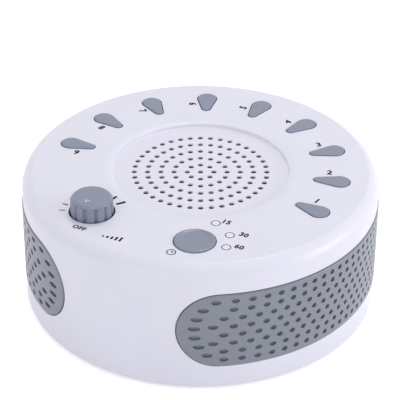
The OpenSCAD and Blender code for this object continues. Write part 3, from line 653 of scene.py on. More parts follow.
def build_housing_mesh(shape, material):
    """The deep cup: wall, rounded edge, top with its openings, and the speaker dish."""
    skin = Skin()
    rim = shape.opening_round
    wall_rim = (GRIP_GAP + rim, rim, GRIP_GAP + rim)
    outer = wall_columns(wall_rim, BODY_R, WALL_SLOTS)
    inner = wall_columns((GRIP_GAP, 0, GRIP_GAP), INNER_R, (INLET_SLOT,))
    outer_angles = [c[0] for c in outer]
    inner_angles = [c[0] for c in inner]
    edge = edge_profile()
    bottom, top, outlines = wall(skin, BODY_R, outer, WALL_Z + FOOT_ROUND, edge[0][1], 1)
    edge_top = turned(skin, edge[1:], outer_angles, row=top)[1]

    # inside of the cup, from the bottom rim up
    in_bottom, in_top, in_outlines = wall(skin, INNER_R, inner, WALL_Z, CEILING_Z - INNER_CORNER_R, -1)
    foot = arc(BODY_R - FOOT_ROUND, WALL_Z + FOOT_ROUND, FOOT_ROUND, 0, -90, 3)
    rim_low = turned(skin, foot[1:], outer_angles, row=bottom)[1]
    rim_in = skin.again(in_bottom, [-UP] * len(in_bottom))
    skin.strip(rim_low, rim_in)
    corner = hollow_arc(INNER_R - INNER_CORNER_R, CEILING_Z - INNER_CORNER_R, INNER_CORNER_R, 180, 270, 4)
    edge_low = turned(skin, corner[1:], inner_angles, row=in_top)[1]

    # pockets behind the grips and the tunnel of the power inlet
    for slot in (GRIP_SLOT, LEFT_SLOT):
        place = slot.place(BODY_R)
        steps = rounding(rim, -1, GRIP_GAP)[1:] + [(GRIP_GAP, POCKET_DEPTH, 90)]
        last = lip(skin, outlines[slot], place, steps, -1)
        floor = skin.again(last, [level(skin.points[i]) for i in last])
        half = len(slot.upper(0, BODY_R))
        lower = [floor[0]] + floor[:half - 1:-1] + [floor[half - 1]]
        for k in range(half - 1):
            skin.faces.append(tuple(dict.fromkeys((floor[k], floor[k + 1], lower[k + 1], lower[k]))))
    inlet = lip(skin, outlines[INLET_SLOT], INLET_SLOT.place(BODY_R), rounding(rim, -1)[1:], -1)
    mouth = [skin.points[i] for i in in_outlines[INLET_SLOT]]
    tunnel = skin.row(mouth, [(-p.x, 0, INLET_Z - p.z) for p in mouth])
    skin.strip(inlet, tunnel)

    # the dish, from the top's inner edge down to its floor
    dish_angles = round_angles(DISH_STEPS)
    dish_top, dish_floor = turned(skin, dish_profile(), dish_angles)
    under = [(DISH_UNDER_R, CEILING_Z, -90), (DISH_UNDER_R, CEILING_Z, 0),
             (DISH_UNDER_R, DISH_UNDER_Z, 0), (DISH_UNDER_R, DISH_UNDER_Z, -90)]
    ceiling_in, dish_under = turned(skin, under, dish_angles)

    holes = [teardrop_hole(skin, a, rim) for a in BUTTON_ANGLES]
    holes.append(round_hole(skin, TIMER_CENTRE, TIMER_R + SLIDE_GAP, rim, TOP_Z, CEILING_Z,
                            TIMER_OPENING_STEPS))
    for centre in LAMP_CENTRES:
        holes.append(round_hole(skin, centre, LAMP_R + LAMP_GAP, LAMP_GAP / 2, TOP_Z, CEILING_Z,
                                LAMP_STEPS))
    holes.append(round_hole(skin, KNOB_CENTRE, KNOB_HOLE_R, rim, TOP_Z, CEILING_Z, KNOB_OPENING_STEPS))
    holes.append((dish_top, ceiling_in))
    pierced_plate(skin, (edge_top, edge_low), holes)

    speaker = [round_hole(skin, c, HOLE_R, shape.hole_round, DISH_Z, DISH_UNDER_Z, HOLE_STEPS)
               for c in speaker_hole_centres()]
    pierced_plate(skin, (dish_floor, dish_under), speaker)
    return skin.piece("housing_shell", material)


def dish_profile():
    """Profile of the dish: the top falling off a little, the rounded rim and the filleted floor."""
    rim_r = DISH_R + DISH_RIM_R
    width = DISH_EASE_R - rim_r
    ease = []
    for share in (0, 0.2, 0.4, 0.6, 0.8):
        tilt = 90 + math.degrees(math.atan(2 * share * DISH_EASE_DROP / width))
        ease.append((DISH_EASE_R - share * width, TOP_Z - share * share * DISH_EASE_DROP, tilt))
    rim = arc(rim_r, TOP_Z - DISH_EASE_DROP - DISH_RIM_R, DISH_RIM_R, 90, 180, 6)
    rim[0] = (*rim[0][:2], DISH_EASE_TILT)
    fillet = hollow_arc(DISH_R - DISH_FILLET_R, DISH_Z + DISH_FILLET_R, DISH_FILLET_R, 180, 90, 6)
    return ease + rim + fillet


def build_cloth_mesh(shape, material):
    """The black dust cloth under the dish, with bulges pushed up into every speaker hole as painted shade,
    its black standing for the shade inside the holes.
    """
    skin = Skin()
    low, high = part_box("speaker_cloth")
    r, peak = HOLE_R - CLOTH_GAP, DISH_Z - shape.cloth_sink
    rim = [(high.x, high.z, 90), (high.x, high.z, 0), (high.x, low.z, 0), (high.x, low.z, -90)]
    loops = [turned(skin, rim, round_angles(CLOTH_STEPS))]
    skin.fan(loops[0][1], UP * low.z, -UP)
    # painted shade: each bulge lifts the black cloth up into a speaker hole, close under the dish
    shade_bulge_profile = [(r, high.z, 90), (r, high.z, 0)]
    shade_bulge_profile += [(share * r, peak - drop, tilt) for share, drop, tilt in CLOTH_SHADE_BULGE]
    for centre in speaker_hole_centres():
        shade_bulge = turned(skin, shade_bulge_profile, round_angles(SHADE_BULGE_STEPS), centre)
        skin.fan(shade_bulge[1], centre + UP * peak, UP)
        loops.append(shade_bulge)
    skin.fill([first for first, _ in loops], flat_xy)
    return skin.piece("speaker_dust_cloth", material)


# ---------------------------------------------------------------- grips


def border_reach(dz):
    """How far the dimples' border line reaches from the middle at a height above the grip's middle."""
    end = BODY_R * math.cos(math.radians(GRIP_END_ANGLE + BORDER_END_TURN)) - GRIP_MIDDLE_Y
    return GRIP_MIDDLE_Y + end * math.sqrt(max(0.0, 1 - (dz / BORDER_HALF_H) ** 2))


def border_line():
    """Closed line that the outermost dimples follow, as (y, z) from the grip's middle."""
    middle = GRIP_MIDDLE_Y
    end = border_reach(0) - middle
    n = BORDER_RUN
    line = [(-middle * i / n, BORDER_HALF_H) for i in range(n + 1)]
    for side in (-1, 1):
        for a in BORDER_BENDS:
            t = math.radians(a)
            line.append((side * (middle + end * math.sin(t)), -side * BORDER_HALF_H * math.cos(t)))
        if side < 0:
            line += [(middle * i / n, -BORDER_HALF_H) for i in range(-n, n + 1)]
    return line + [(middle * i / n, BORDER_HALF_H) for i in range(n, -1, -1)]


def dimple_centres():
    """Middle of every dimple of a grip, as (y, z) from the grip's middle."""
    line = [Vector(p) for p in border_line()]
    runs = [0.0]
    for a, b in zip(line, line[1:]):
        runs.append(runs[-1] + (b - a).length)
    count = round(runs[-1] / BORDER_PITCH)
    centres = []
    for i in range(count):
        s = (i * runs[-1] / count + BORDER_PHASE) % runs[-1]
        k = max(n for n in range(len(runs) - 1) if runs[n] <= s)
        share = (s - runs[k]) / max(runs[k + 1] - runs[k], TINY * MM)
        centres.append(tuple(line[k].lerp(line[k + 1], share)))
    for row in range(DIMPLE_ROWS):
        dz = (row - (DIMPLE_ROWS - 1) / 2) * DIMPLE_ROW_PITCH
        for k in range(-DIMPLES_PER_SIDE, DIMPLES_PER_SIDE + 1):
            y = (k + (1 - row % 2) / 2) * DIMPLE_PITCH
            if abs(y) < border_reach(dz) - BORDER_MARGIN:
                centres.append((y, dz))
    return centres


def on_grip(y, z, radius):
    """Point of the right grip's round face at a place seen along the mould's pull direction, X."""
    return Vector((math.sqrt(radius * radius - y * y), y, z))


def dimple(skin, y, z):
    """One dimple, round when seen along X, with walls square to the face.

    Gives its row in the grip's face."""
    rim, foot = DIMPLE_RIM, DIMPLE_FOOT
    floor_r = GRIP_OUT_R - DIMPLE_DEPTH
    first = row = None
    steps = [(rim * (1 - math.sin(t)), GRIP_OUT_R - rim * (1 - math.cos(t)), t)
             for t in (0, math.pi / 6, math.pi / 3, math.pi / 2)]
    steps += [(0, floor_r + foot, math.pi / 2), (-0.4 * foot, floor_r + 0.3 * foot, math.pi / 4),
              (-1.4 * foot, floor_r, 0)]
    for grow, radius, tilt in steps:
        points, normals = [], []
        for k in range(DIMPLE_STEPS):
            a = math.tau * k / DIMPLE_STEPS
            p = on_grip(y + (DIMPLE_R + grow) * math.cos(a), z + (DIMPLE_R + grow) * math.sin(a), GRIP_OUT_R)
            face = level(p).normalized()
            along = Vector((-face.y, face.x, 0))
            side = (along * face.x * math.cos(a) + UP * math.sin(a)).normalized()
            points.append(face * radius + UP * p.z)
            normals.append(face * math.cos(tilt) - side * math.sin(tilt))
        made = skin.row(points, normals)
        if row is not None:
            skin.strip(row, made)
        first = first or made
        row = made
    face = level(on_grip(y, z, GRIP_OUT_R)).normalized()
    skin.fan(row, face * floor_r + UP * z, face)
    return first


def build_grip_mesh(name, mirror, shape, material):
    """One side grip: a curved plate with a rounded rim, full of dimples."""
    skin = Skin()
    place = GRIP_SLOT.place(GRIP_OUT_R)
    r = shape.grip_round
    rows = rounding(r, 1, 0, 0, 5)
    face = lip(skin, None, place, rows[:1], 1)
    last = lip(skin, face, place, rows[1:] + [(0, GRIP_OUT_R - GRIP_IN_R, 90)], 1)
    holes = [dimple(skin, y, GRIP_MID_Z + z) for y, z in dimple_centres()]
    skin.fill([face] + holes, unrolled)
    back = skin.again(last, [-level(skin.points[i]) for i in last])
    skin.fill([back], unrolled)
    if mirror:
        for group in (skin.points, skin.normals):
            for v in group:
                v.x = -v.x
    return skin.piece(name, material)


# ---------------------------------------------------------------- controls


def build_button_mesh(number, angle, shape, material):
    """One teardrop button: cap with a rounded edge and a faint crown, skirt and stem."""
    skin = Skin()
    crown = BUTTON_CROWN
    top = BUTTON_TOP_Z - crown
    place = button_place(angle, top)
    skirt_top, skirt_low = top - SKIRT_Z, top - SKIRT_Z + SKIRT_H
    face = lip(skin, None, place, [(-BUTTON_FLAT_IN, -crown, 0)], 1)
    skin.fill([face], flat_xy)
    slope = [(-BUTTON_SLOPE_IN, -0.7 * crown, 3)]
    cap = lip(skin, face, place, slope + rounding(shape.button_round, 1) + [(0, skirt_top, 90)], 1)
    shelf = skin.again(cap, [UP] * len(cap))
    lip(skin, shelf, place, [(SKIRT_GROW, skirt_top, 0)], 1)
    side = lip(skin, None, place, [(SKIRT_GROW, skirt_top, 90)], 1)
    side = lip(skin, side, place, [(SKIRT_GROW, skirt_low, 90)], 1)
    under = skin.again(side, [-UP] * len(side))
    centre = on_dial(angle, BUTTON_RING_R)
    stem = [(STEM_R, SKIRT_Z - SKIRT_H, -90), (STEM_R, SKIRT_Z - SKIRT_H, 0), (STEM_R, STEM_LOW_Z, 0),
            (STEM_R, STEM_LOW_Z, -90)]
    stem_top, stem_low = turned(skin, stem, round_angles(STEM_STEPS), centre)
    skin.fill([under, stem_top], flat_xy)
    skin.fan(stem_low, centre + UP * STEM_LOW_Z, -UP)
    return skin.piece(f"sound_button_cap_{number}", material)


def build_timer_mesh(material):
    """The round timer button: a shallow dish inside a rounded ring."""
    skin = Skin()
    dish_r, top = TIMER_R - TIMER_RING_W, BUTTON_TOP_Z
    skirt_r, skirt_low = TIMER_R + SKIRT_GROW, SKIRT_Z - SKIRT_H
    dish = ((0.05 * MM, TIMER_LOWEST, 90), (0.6 * TIMER_R, 1.25, 92), (dish_r - 0.3 * MM, 1, 96),
            (dish_r, 0.6, 112), (dish_r + 0.16 * MM, 0.1, 104))  # radius, share of the sink, tilt
    profile = [(radius, top - share * TIMER_SINK, tilt) for radius, share, tilt in dish]
    profile += arc(TIMER_R - TIMER_ROUND, top - TIMER_ROUND, TIMER_ROUND, 90, 0, 6)
    profile += [(TIMER_R, SKIRT_Z, 0), (TIMER_R, SKIRT_Z, 90), (skirt_r, SKIRT_Z, 90), (skirt_r, SKIRT_Z, 0),
                (skirt_r, skirt_low, 0), (skirt_r, skirt_low, -90), (TIMER_STEM_R, skirt_low, -90),
                (TIMER_STEM_R, skirt_low, 0), (TIMER_STEM_R, STEM_LOW_Z, 0), (TIMER_STEM_R, STEM_LOW_Z, -90)]
    first, last = turned(skin, profile, round_angles(TIMER_STEPS), TIMER_CENTRE)
    skin.fan(first, TIMER_CENTRE + UP * (top - TIMER_LOWEST * TIMER_SINK), UP)
    skin.fan(last, TIMER_CENTRE + UP * STEM_LOW_Z, -UP)
    return skin.piece("timer_button_cap", material)


def smoothstep(low, high, x):
    """0 below low, 1 above high, and smooth between."""
    t = min(1.0, max(0.0, (x - low) / (high - low)))
    return t * t * (3 - 2 * t)


def flute_cut(offset, depth):
    """How deep the knob's side is cut at an offset from a flute's middle, in half pitches."""
    groove = depth * math.sqrt(max(0.0, 1 - (offset / FLUTE_SHARE) ** 2))
    shoulder = FLUTE_SHOULDER * (1 - smoothstep(FLUTE_SHARE, SHOULDER_SHARE, abs(offset)))
    return max(groove, shoulder)


def build_knob_mesh(shape, material):
    """The fluted knob: broad ribs between narrow grooves that end below the bevel of the top."""
    right = (0.16, 0.29, 0.335, 0.37, 0.42, 0.5, 0.7)
    offsets = (-1, *(-o for o in right[::-1]), 0, *right)
    half = 180 / FLUTES
    columns = [(2 * half * k + FLUTE_TURN + o * half, flute_cut(o, shape.flute_depth))
               for k in range(FLUTES) for o in offsets]
    side_top = KNOB_TOP_Z - KNOB_BEVEL_H
    side_low = KNOB_LOW_Z + KNOB_FOOT_H
    profile = [(KNOB_R - inset, KNOB_LOW_Z + height) for inset, height in KNOB_FOOT]
    for k in range(KNOB_SIDE_STEPS + 1):
        share = k / KNOB_SIDE_STEPS
        profile.append((KNOB_R + (KNOB_TOP_R - KNOB_R) * share, side_low + (side_top - side_low) * share))
    flat_r, bend = KNOB_TOP_R - KNOB_BEVEL_W, KNOB_BEVEL_BEND
    for share in (-bend, -0.4 * bend, 0.3 * bend, bend, 0.5, 1 - bend, 1 - 0.3 * bend):
        lean = min(1, max(0, share) ** 1.15)
        profile.append((KNOB_TOP_R - KNOB_BEVEL_W * lean, side_top + (KNOB_BEVEL_H - KNOB_DOME) * share))
    profile += [(flat_r * s, KNOB_TOP_Z - KNOB_DOME * s * s) for s in (0.985, 0.9, 0.65, 0.4, 0.15)]
    points, rows = [], []
    for radius, z in profile:
        fade = 1 - smoothstep(KNOB_TOP_Z - FLUTE_END[0], KNOB_TOP_Z - FLUTE_END[1], z)
        rows.append(range(len(points), len(points) + len(columns)))
        points += [KNOB_CENTRE + on_dial(angle, radius - cut * fade, z) for angle, cut in columns]
    faces = []
    for low, high in zip(rows, rows[1:]):
        for i in range(len(columns)):
            j = (i + 1) % len(columns)
            faces.append((low[i], low[j], high[j], high[i]))
    faces.append(tuple(rows[-1]))
    faces.append(tuple(reversed(rows[0])))
    mesh = bpy.data.meshes.new("volume_knob_cap")
    mesh.from_pydata([tuple(p) for p in points], [], faces)
    mesh.polygons.foreach_set("use_smooth", [True] * len(faces))
    mesh.polygons[-1].use_smooth = False
    return add_piece("volume_knob_cap", mesh, material)


# ---------------------------------------------------------------- prints


def printed(name, lines, rings, body, z, shape, material):
    """Makes one thin layer of ink of flat outlines and rings.

    An outline is a list of (x, y). A ring is its centre, inner radius and width."""
    points, faces = [], []
    for line in lines:
        start = len(points)
        n = len(line)
        points += [(x, y, z) for x, y in line] + [(x, y, z + shape.ink_height) for x, y in line]
        faces.append(tuple(range(start + n, start + 2 * n)))
        faces.append(tuple(range(start + n - 1, start - 1, -1)))
        faces += [(start + i, start + (i + 1) % n, start + n + (i + 1) % n, start + n + i) for i in range(n)]
    for centre, r, width in rings:
        n, start = RING_STEPS, len(points)
        corners = ((r + width, z), (r + width, z + shape.ink_height), (r, z + shape.ink_height), (r, z))
        for radius, height in corners:
            points += [centre + on_dial(a, radius, height) for a in round_angles(n)]
        for k in range(4):
            low, high = start + n * k, start + n * ((k + 1) % 4)
            faces += [(low + i, low + (i + 1) % n, high + (i + 1) % n, high + i) for i in range(n)]
    mesh = bpy.data.meshes.new(name)
    mesh.from_pydata(points, [], faces)
    piece = add_piece(name, mesh, material)
    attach(piece, body)
    return piece


def bar(centre, angle, width, length):
    """Outline of a straight mark; angle is its direction from +X in degrees."""
    a = math.radians(angle)
    along, across = Vector((math.cos(a), math.sin(a))), Vector((-math.sin(a), math.cos(a)))
    middle = Vector(centre[:2])
    corners = ((-1, -1), (1, -1), (1, 1), (-1, 1))
    return [tuple(middle + along * (length / 2 * i) + across * (width / 2 * j)) for i, j in corners]


def volume_wedge():
    """A rising wedge of bars beside the knob."""
    return [bar(VOLUME_PLACE + WEDGE_LOW + WEDGE_STEP * k, 90, WEDGE_W, WEDGE_FIRST_H + WEDGE_RISE * k)
            for k in range(WEDGE_BARS)]


def clock_hands():
    """Both hands of the small clock below the timer button."""
    return [bar(TIMER_PLACE + Vector(place) * MM, angle, HAND_W, length) for place, angle, length in HANDS]


def lettered(name, text, centre, angle, height, shape, material):
    """Printed characters, centred, with their baseline turned by angle from +X.

    height is a capital's height."""
    curve = bpy.data.curves.new(name, "FONT")
    curve.body = text
    curve.size = height / CAPITAL_SHARE
    curve.align_x = curve.align_y = "CENTER"
    curve.extrude = shape.ink_height / 2
    curve.resolution_u = LETTER_STEPS
    curve.offset = BOLD_SHARE * height
    curve.space_character = LETTER_SPACING
    source = bpy.data.objects.new(name, curve)
    bpy.context.scene.collection.objects.link(source)
    place = Matrix.Translation((centre[0], centre[1], TOP_Z + shape.ink_height / 2))
    source.matrix_world = place @ Matrix.Rotation(math.radians(angle), 4, "Z")
    bpy.context.view_layer.update()
    mesh = bpy.data.meshes.new_from_object(source.evaluated_get(bpy.context.evaluated_depsgraph_get()))
    mesh.transform(source.matrix_world)
    bpy.data.objects.remove(source)
    piece = add_piece(name, mesh, material)
    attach(piece, "housing")
    return piece


# ---------------------------------------------------------------- finishes


def finish_nodes(name):
    """A new material with its nodes, its shader and object coordinates."""
    material = bpy.data.materials.new(f"{name}_finish")
    material.use_nodes = True
    nodes = material.node_tree.nodes
    shader = nodes["Principled BSDF"]
    place = nodes.new("ShaderNodeTexCoord")
    return material, nodes, material.node_tree.links, shader, place.outputs["Object"]


def noise(nodes, links, where, size, detail=3.0):
    """Noise whose grains are about size across."""
    texture = nodes.new("ShaderNodeTexNoise")
    texture.inputs["Scale"].default_value = 1 / size
    texture.inputs["Detail"].default_value = detail
    links.new(where, texture.inputs["Vector"])
    return texture.outputs["Fac"]


def spread(nodes, links, value, low, high):
    """Maps a texture's middle range to low and high."""
    ranged = nodes.new("ShaderNodeMapRange")
    ranged.inputs["From Min"].default_value = 0.3
    ranged.inputs["From Max"].default_value = 0.7
    ranged.inputs["To Min"].default_value = low
    ranged.inputs["To Max"].default_value = high
    links.new(value, ranged.inputs["Value"])
    return ranged.outputs["Result"]


def two_tone(nodes, links, value, colour, shift):
    """Colour that moves a little lighter and darker with a texture."""
    ramp = nodes.new("ShaderNodeValToRGB")
    ramp.color_ramp.elements[0].position = 0.3
    ramp.color_ramp.elements[1].position = 0.7
    for element, factor in zip(ramp.color_ramp.elements, (1 - shift, 1 + shift)):
        element.color = (*(min(1.0, c * factor) for c in colour), 1)
    links.new(value, ramp.inputs["Fac"])
    return ramp.outputs["Color"]


def bumped(nodes, links, shader, value, depth):
    """Raises the surface by depth where the texture is light."""
    bump = nodes.new("ShaderNodeBump")
    bump.inputs["Distance"].default_value = depth
    links.new(value, bump.inputs["Height"])
    links.new(bump.outputs["Normal"], shader.inputs["Normal"])


def moulded(name, colour, roughness=0.4, grain=0.35 * MM, depth=0.006 * MM, shift=0.02,
            metallic=0.0, specular=0.5):
    """Moulded or pressed surface: fine grain, cloudy gloss and a faint drift of colour."""
    material, nodes, links, shader, where = finish_nodes(name)
    cloud = noise(nodes, links, where, 14 * MM, 2.0)
    fine = noise(nodes, links, where, grain)
    links.new(two_tone(nodes, links, cloud, colour, shift), shader.inputs["Base Color"])
    links.new(spread(nodes, links, cloud, roughness * 0.9, roughness * 1.1), shader.inputs["Roughness"])
    shader.inputs["Metallic"].default_value = metallic
    shader.inputs["Specular IOR Level"].default_value = specular
    bumped(nodes, links, shader, fine, depth)
    return material


def woven(name, colour, thread, roughness=0.85):
    """Cloth with crossing threads."""
    material, nodes, links, shader, where = finish_nodes(name)
    bands = []
    for direction in ("X", "Y"):
        wave = nodes.new("ShaderNodeTexWave")
        wave.bands_direction = direction
        wave.inputs["Scale"].default_value = 0.05 / thread
        wave.inputs["Distortion"].default_value = 0.6
        wave.inputs["Detail Scale"].default_value = 0.5 / thread
        links.new(where, wave.inputs["Vector"])
        bands.append(wave.outputs["Fac"])
    cross = nodes.new("ShaderNodeMath")
    cross.operation = "MAXIMUM"
    links.new(bands[0], cross.inputs[0])
    links.new(bands[1], cross.inputs[1])
    links.new(two_tone(nodes, links, cross.outputs[0], colour, 0.5), shader.inputs["Base Color"])
    shader.inputs["Roughness"].default_value = roughness
    bumped(nodes, links, shader, cross.outputs[0], thread * 0.4)
    return material


def circuit_board(name, colour):
    """Green solder mask with copper tracks under it."""
    material, nodes, links, shader, where = finish_nodes(name)
    tracks = nodes.new("ShaderNodeTexBrick")
    tracks.inputs["Scale"].default_value = 60
    tracks.inputs["Mortar Size"].default_value = 0.05
    tracks.inputs["Color1"].default_value = (*colour, 1)
    tracks.inputs["Color2"].default_value = (*(c * 0.85 for c in colour), 1)
    tracks.inputs["Mortar"].default_value = (*(min(1.0, c * 1.7 + 0.02) for c in colour), 1)
    links.new(where, tracks.inputs["Vector"])
    links.new(tracks.outputs["Color"], shader.inputs["Base Color"])
    shader.inputs["Roughness"].default_value = 0.35
    bumped(nodes, links, shader, tracks.outputs["Fac"], 0.03 * MM)
    return material


def wound_wire(name, colour, wire):
    """Enamelled wire wound round an upright axis."""
    material, nodes, links, shader, where = finish_nodes(name)
    wave = nodes.new("ShaderNodeTexWave")
    wave.bands_direction = "Z"
    wave.inputs["Scale"].default_value = 0.05 / wire
    links.new(where, wave.inputs["Vector"])
    links.new(two_tone(nodes, links, wave.outputs["Fac"], colour, 0.3), shader.inputs["Base Color"])
    shader.inputs["Metallic"].default_value = 1
    shader.inputs["Roughness"].default_value = 0.3
    bumped(nodes, links, shader, wave.outputs["Fac"], wire * 0.4)
    return material


def milky_window(name, colour):
    """Clouded clear plastic of the lamp windows."""
    material = moulded(name, colour, 0.25, shift=0.01)
    shader = material.node_tree.nodes["Principled BSDF"]
    shader.inputs["Subsurface Weight"].default_value = 0.3
    shader.inputs["Subsurface Radius"].default_value = (1, 1, 1)
    shader.inputs["Subsurface Scale"].default_value = 0.5 * MM
    return material


def make_finishes(colours):
    """Makes every finish of the machine, named after its material slot."""
    white, grey = tuple(colours.housing), tuple(colours.controls)
    moulded("housing_white", white, 0.34, 0.5 * MM, 0.003 * MM, 0.01)
    moulded("base_white", white, 0.5, 0.4 * MM, 0.01 * MM, 0.02)
    moulded("grip_grey", tuple(colours.grips), 0.36, 0.25 * MM, 0.006 * MM, 0.03, specular=0.85)
    moulded("control_grey", grey, 0.3, 0.25 * MM, 0.003 * MM, 0.01)
    milky_window("lamp_window", (0.78, 0.78, 0.86))
    milky_window("lamp_body", (0.8, 0.72, 0.45))
    moulded("rubber_foot", (0.025, 0.025, 0.028), 0.8, 0.3 * MM, 0.03 * MM, 0.15)
    moulded("zinc_steel", (0.6, 0.61, 0.64), 0.32, 0.2 * MM, 0.004 * MM, 0.08, 1.0)
    moulded("black_plastic", (0.03, 0.03, 0.034), 0.5, 0.3 * MM, 0.01 * MM, 0.1)
    moulded("switch_grey", (0.1, 0.1, 0.11), 0.45, 0.2 * MM, 0.008 * MM, 0.1)
    circuit_board("board_green", (0.02, 0.13, 0.05))
    moulded("basket_grey", (0.22, 0.22, 0.24), 0.4, 0.3 * MM, 0.008 * MM, 0.1, 0.9)
    moulded("black_rubber", (0.02, 0.02, 0.022), 0.7, 0.3 * MM, 0.02 * MM, 0.15)
    moulded("cone_paper", (0.03, 0.03, 0.034), 0.9, 0.5 * MM, 0.08 * MM, 0.3)
    wound_wire("copper_wire", (0.75, 0.33, 0.16), 0.2 * MM)
    woven("spider_cloth", (0.5, 0.33, 0.1), 0.4 * MM)
    moulded("magnet_black", (0.035, 0.035, 0.038), 0.6, 0.4 * MM, 0.03 * MM, 0.2)
    # the dust cloth's black, which also fills the speaker holes as painted shade
    woven("dust_cloth", (0.012, 0.012, 0.014), 0.35 * MM, 0.95)
    moulded("ribbon_white", (0.6, 0.6, 0.62), 0.5, 0.6 * MM, 0.02 * MM, 0.1)
    moulded("lead_red", (0.42, 0.02, 0.02), 0.45, 0.3 * MM, 0.01 * MM, 0.1)
    moulded("lead_black", (0.02, 0.02, 0.02), 0.45, 0.3 * MM, 0.01 * MM, 0.1)
    moulded("print_ink", tuple(colours.ink), 0.6, 0.15 * MM, 0.002 * MM, 0.1, specular=0.15)
    moulded("pale_mark_paint", (0.7, 0.72, 0.78), 0.5, 0.15 * MM, 0.002 * MM, 0.05)


def finish(name):
    """A finish by its slot's name. The first call makes them all."""
    if f"{name}_finish" not in bpy.data.materials:
        make_finishes(bpy.context.scene.sound_machine_colours)
    return bpy.data.materials[f"{name}_finish"]


# ---------------------------------------------------------------- operators


class SOUNDMACHINE_OT_frame(bpy.types.Operator):
    """Give every CAD node its finish"""

    bl_idname = "soundmachine.frame"
    bl_label = "Finish Frame"

    def execute(self, context):
        slots = {s["node"]: s["material_slot"] for s in frame["record"]["subparts"]}
        for name, node in frame["nodes"].items():
            node.data.materials.clear()
            node.data.materials.append(finish(slots[name]))
        return {"FINISHED"}


class SOUNDMACHINE_OT_housing(bpy.types.Operator):
    """Build the housing shell, the speaker dish and its dust cloth"""

    bl_idname = "soundmachine.housing"
    bl_label = "Build Housing"

    def execute(self, context):
        shell = build_housing_mesh(context.scene.sound_machine_shape, finish("housing_white"))
        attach(shell, "housing")
        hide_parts("upper_housing")
        cloth = build_cloth_mesh(context.scene.sound_machine_shape, finish("dust_cloth"))
        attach(cloth, "housing")
        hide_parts("speaker_cloth")
        return {"FINISHED"}


class SOUNDMACHINE_OT_grips(bpy.types.Operator):
    """Build both side grips with their dimples"""

    bl_idname = "soundmachine.grips"
    bl_label = "Build Grips"

    def execute(self, context):
        for side, mirror in (("left", True), ("right", False)):
            grip = build_grip_mesh(f"side_grip_{side}", mirror, context.scene.sound_machine_shape,
                                   finish("grip_grey"))
            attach(grip, "housing")
            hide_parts(f"grip_{side}")
        return {"FINISHED"}


class SOUNDMACHINE_OT_buttons(bpy.types.Operator):
    """Build the nine sound buttons"""

    bl_idname = "soundmachine.buttons"
    bl_label = "Build Sound Buttons"

    def execute(self, context):
        for number, angle in enumerate(BUTTON_ANGLES, 1):
            cap = build_button_mesh(number, angle, context.scene.sound_machine_shape, finish("control_grey"))
            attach(cap, f"sound_key_{number}")
            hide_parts(f"sound_button_{number}")
        return {"FINISHED"}


class SOUNDMACHINE_OT_timer(bpy.types.Operator):
    """Build the timer button"""

    bl_idname = "soundmachine.timer"
    bl_label = "Build Timer Button"

    def execute(self, context):
        cap = build_timer_mesh(finish("control_grey"))
        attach(cap, "timer_key")
        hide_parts("timer_button")
        return {"FINISHED"}


class SOUNDMACHINE_OT_knob(bpy.types.Operator):
    """Build the fluted volume knob and its mark"""

    bl_idname = "soundmachine.knob"
    bl_label = "Build Volume Knob"

    def execute(self, context):
        shape = context.scene.sound_machine_shape
        knob = build_knob_mesh(shape, finish("control_grey"))
        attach(knob, "knob_body")
        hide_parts("volume_knob")
        middle = KNOB_CENTRE + on_dial(POINTER_ANGLE, POINTER_RING_R)
        tip = middle + on_dial(POINTER_ANGLE, POINTER_REACH)
        strokes = []
        for side in (-POINTER_SPREAD, POINTER_SPREAD):
            stroke = on_dial(POINTER_ANGLE + 180 + side, POINTER_REACH)
            strokes.append(bar(tip + stroke, POINTER_ANGLE + 90 + side, POINTER_W, POINTER_STROKE))
        printed("knob_mark", strokes, (), "knob_body", KNOB_TOP_Z - shape.ink_height, shape,
                finish("pale_mark_paint"))
        return {"FINISHED"}


class SOUNDMACHINE_OT_prints(bpy.types.Operator):
    """Print the numbers, the scale and the symbols on the top"""

    bl_idname = "soundmachine.prints"
    bl_label = "Print Marks"

    def execute(self, context):
        shape = context.scene.sound_machine_shape
        ink = finish("print_ink")
        for number, angle in enumerate(BUTTON_ANGLES, 1):
            outward = number <= (BUTTON_COUNT + 1) / 2
            side = Vector((math.cos(math.radians(angle)), math.sin(math.radians(angle)), 0))
            middle = on_dial(angle, BUTTON_RING_R - NUMBER_SHIFT.y) + side * NUMBER_SHIFT.x
            turn = angle - 90 if outward else angle + 90
            lettered(f"number_{number}", str(number), middle, turn, NUMBER_SCALE * shape.digit_height,
                     shape, ink)
        for text, centre, step in zip(("15", "30", "60"), LAMP_CENTRES, MINUTES_PLACES):
            middle = centre + Vector((*step, 0)) * MM
            lettered(f"minutes_{text}", text, middle, 0, shape.digit_height, shape, ink)
        lettered("off_mark", "OFF", OFF_PLACE, 0, OFF_HEIGHT, shape, ink)
        marks = []
        for k in range(SCALE_MARKS):
            angle = SCALE_FIRST - SCALE_PITCH * k
            share = k / (SCALE_MARKS - 1)
            length = SCALE_LENGTHS[0] + (SCALE_LENGTHS[1] - SCALE_LENGTHS[0]) * share * share
            width = SCALE_WIDTHS[0] + (SCALE_WIDTHS[1] - SCALE_WIDTHS[0]) * share
            middle = KNOB_CENTRE + on_dial(angle, SCALE_IN_R + length / 2)
            marks.append(bar(middle, angle - 90, width, length))
        rings = [(c, LAMP_R + RING_PRINT_GAP, RING_PRINT_W) for c in LAMP_CENTRES]
        printed("lamp_rings", (), rings, "housing", TOP_Z, shape, ink)
        printed("volume_scale", marks, (), "housing", TOP_Z, shape, ink)
        clock = (TIMER_PLACE, CLOCK_R, CLOCK_LINE)
        printed("symbols", volume_wedge() + clock_hands(), [clock], "housing", TOP_Z, shape, ink)
        return {"FINISHED"}


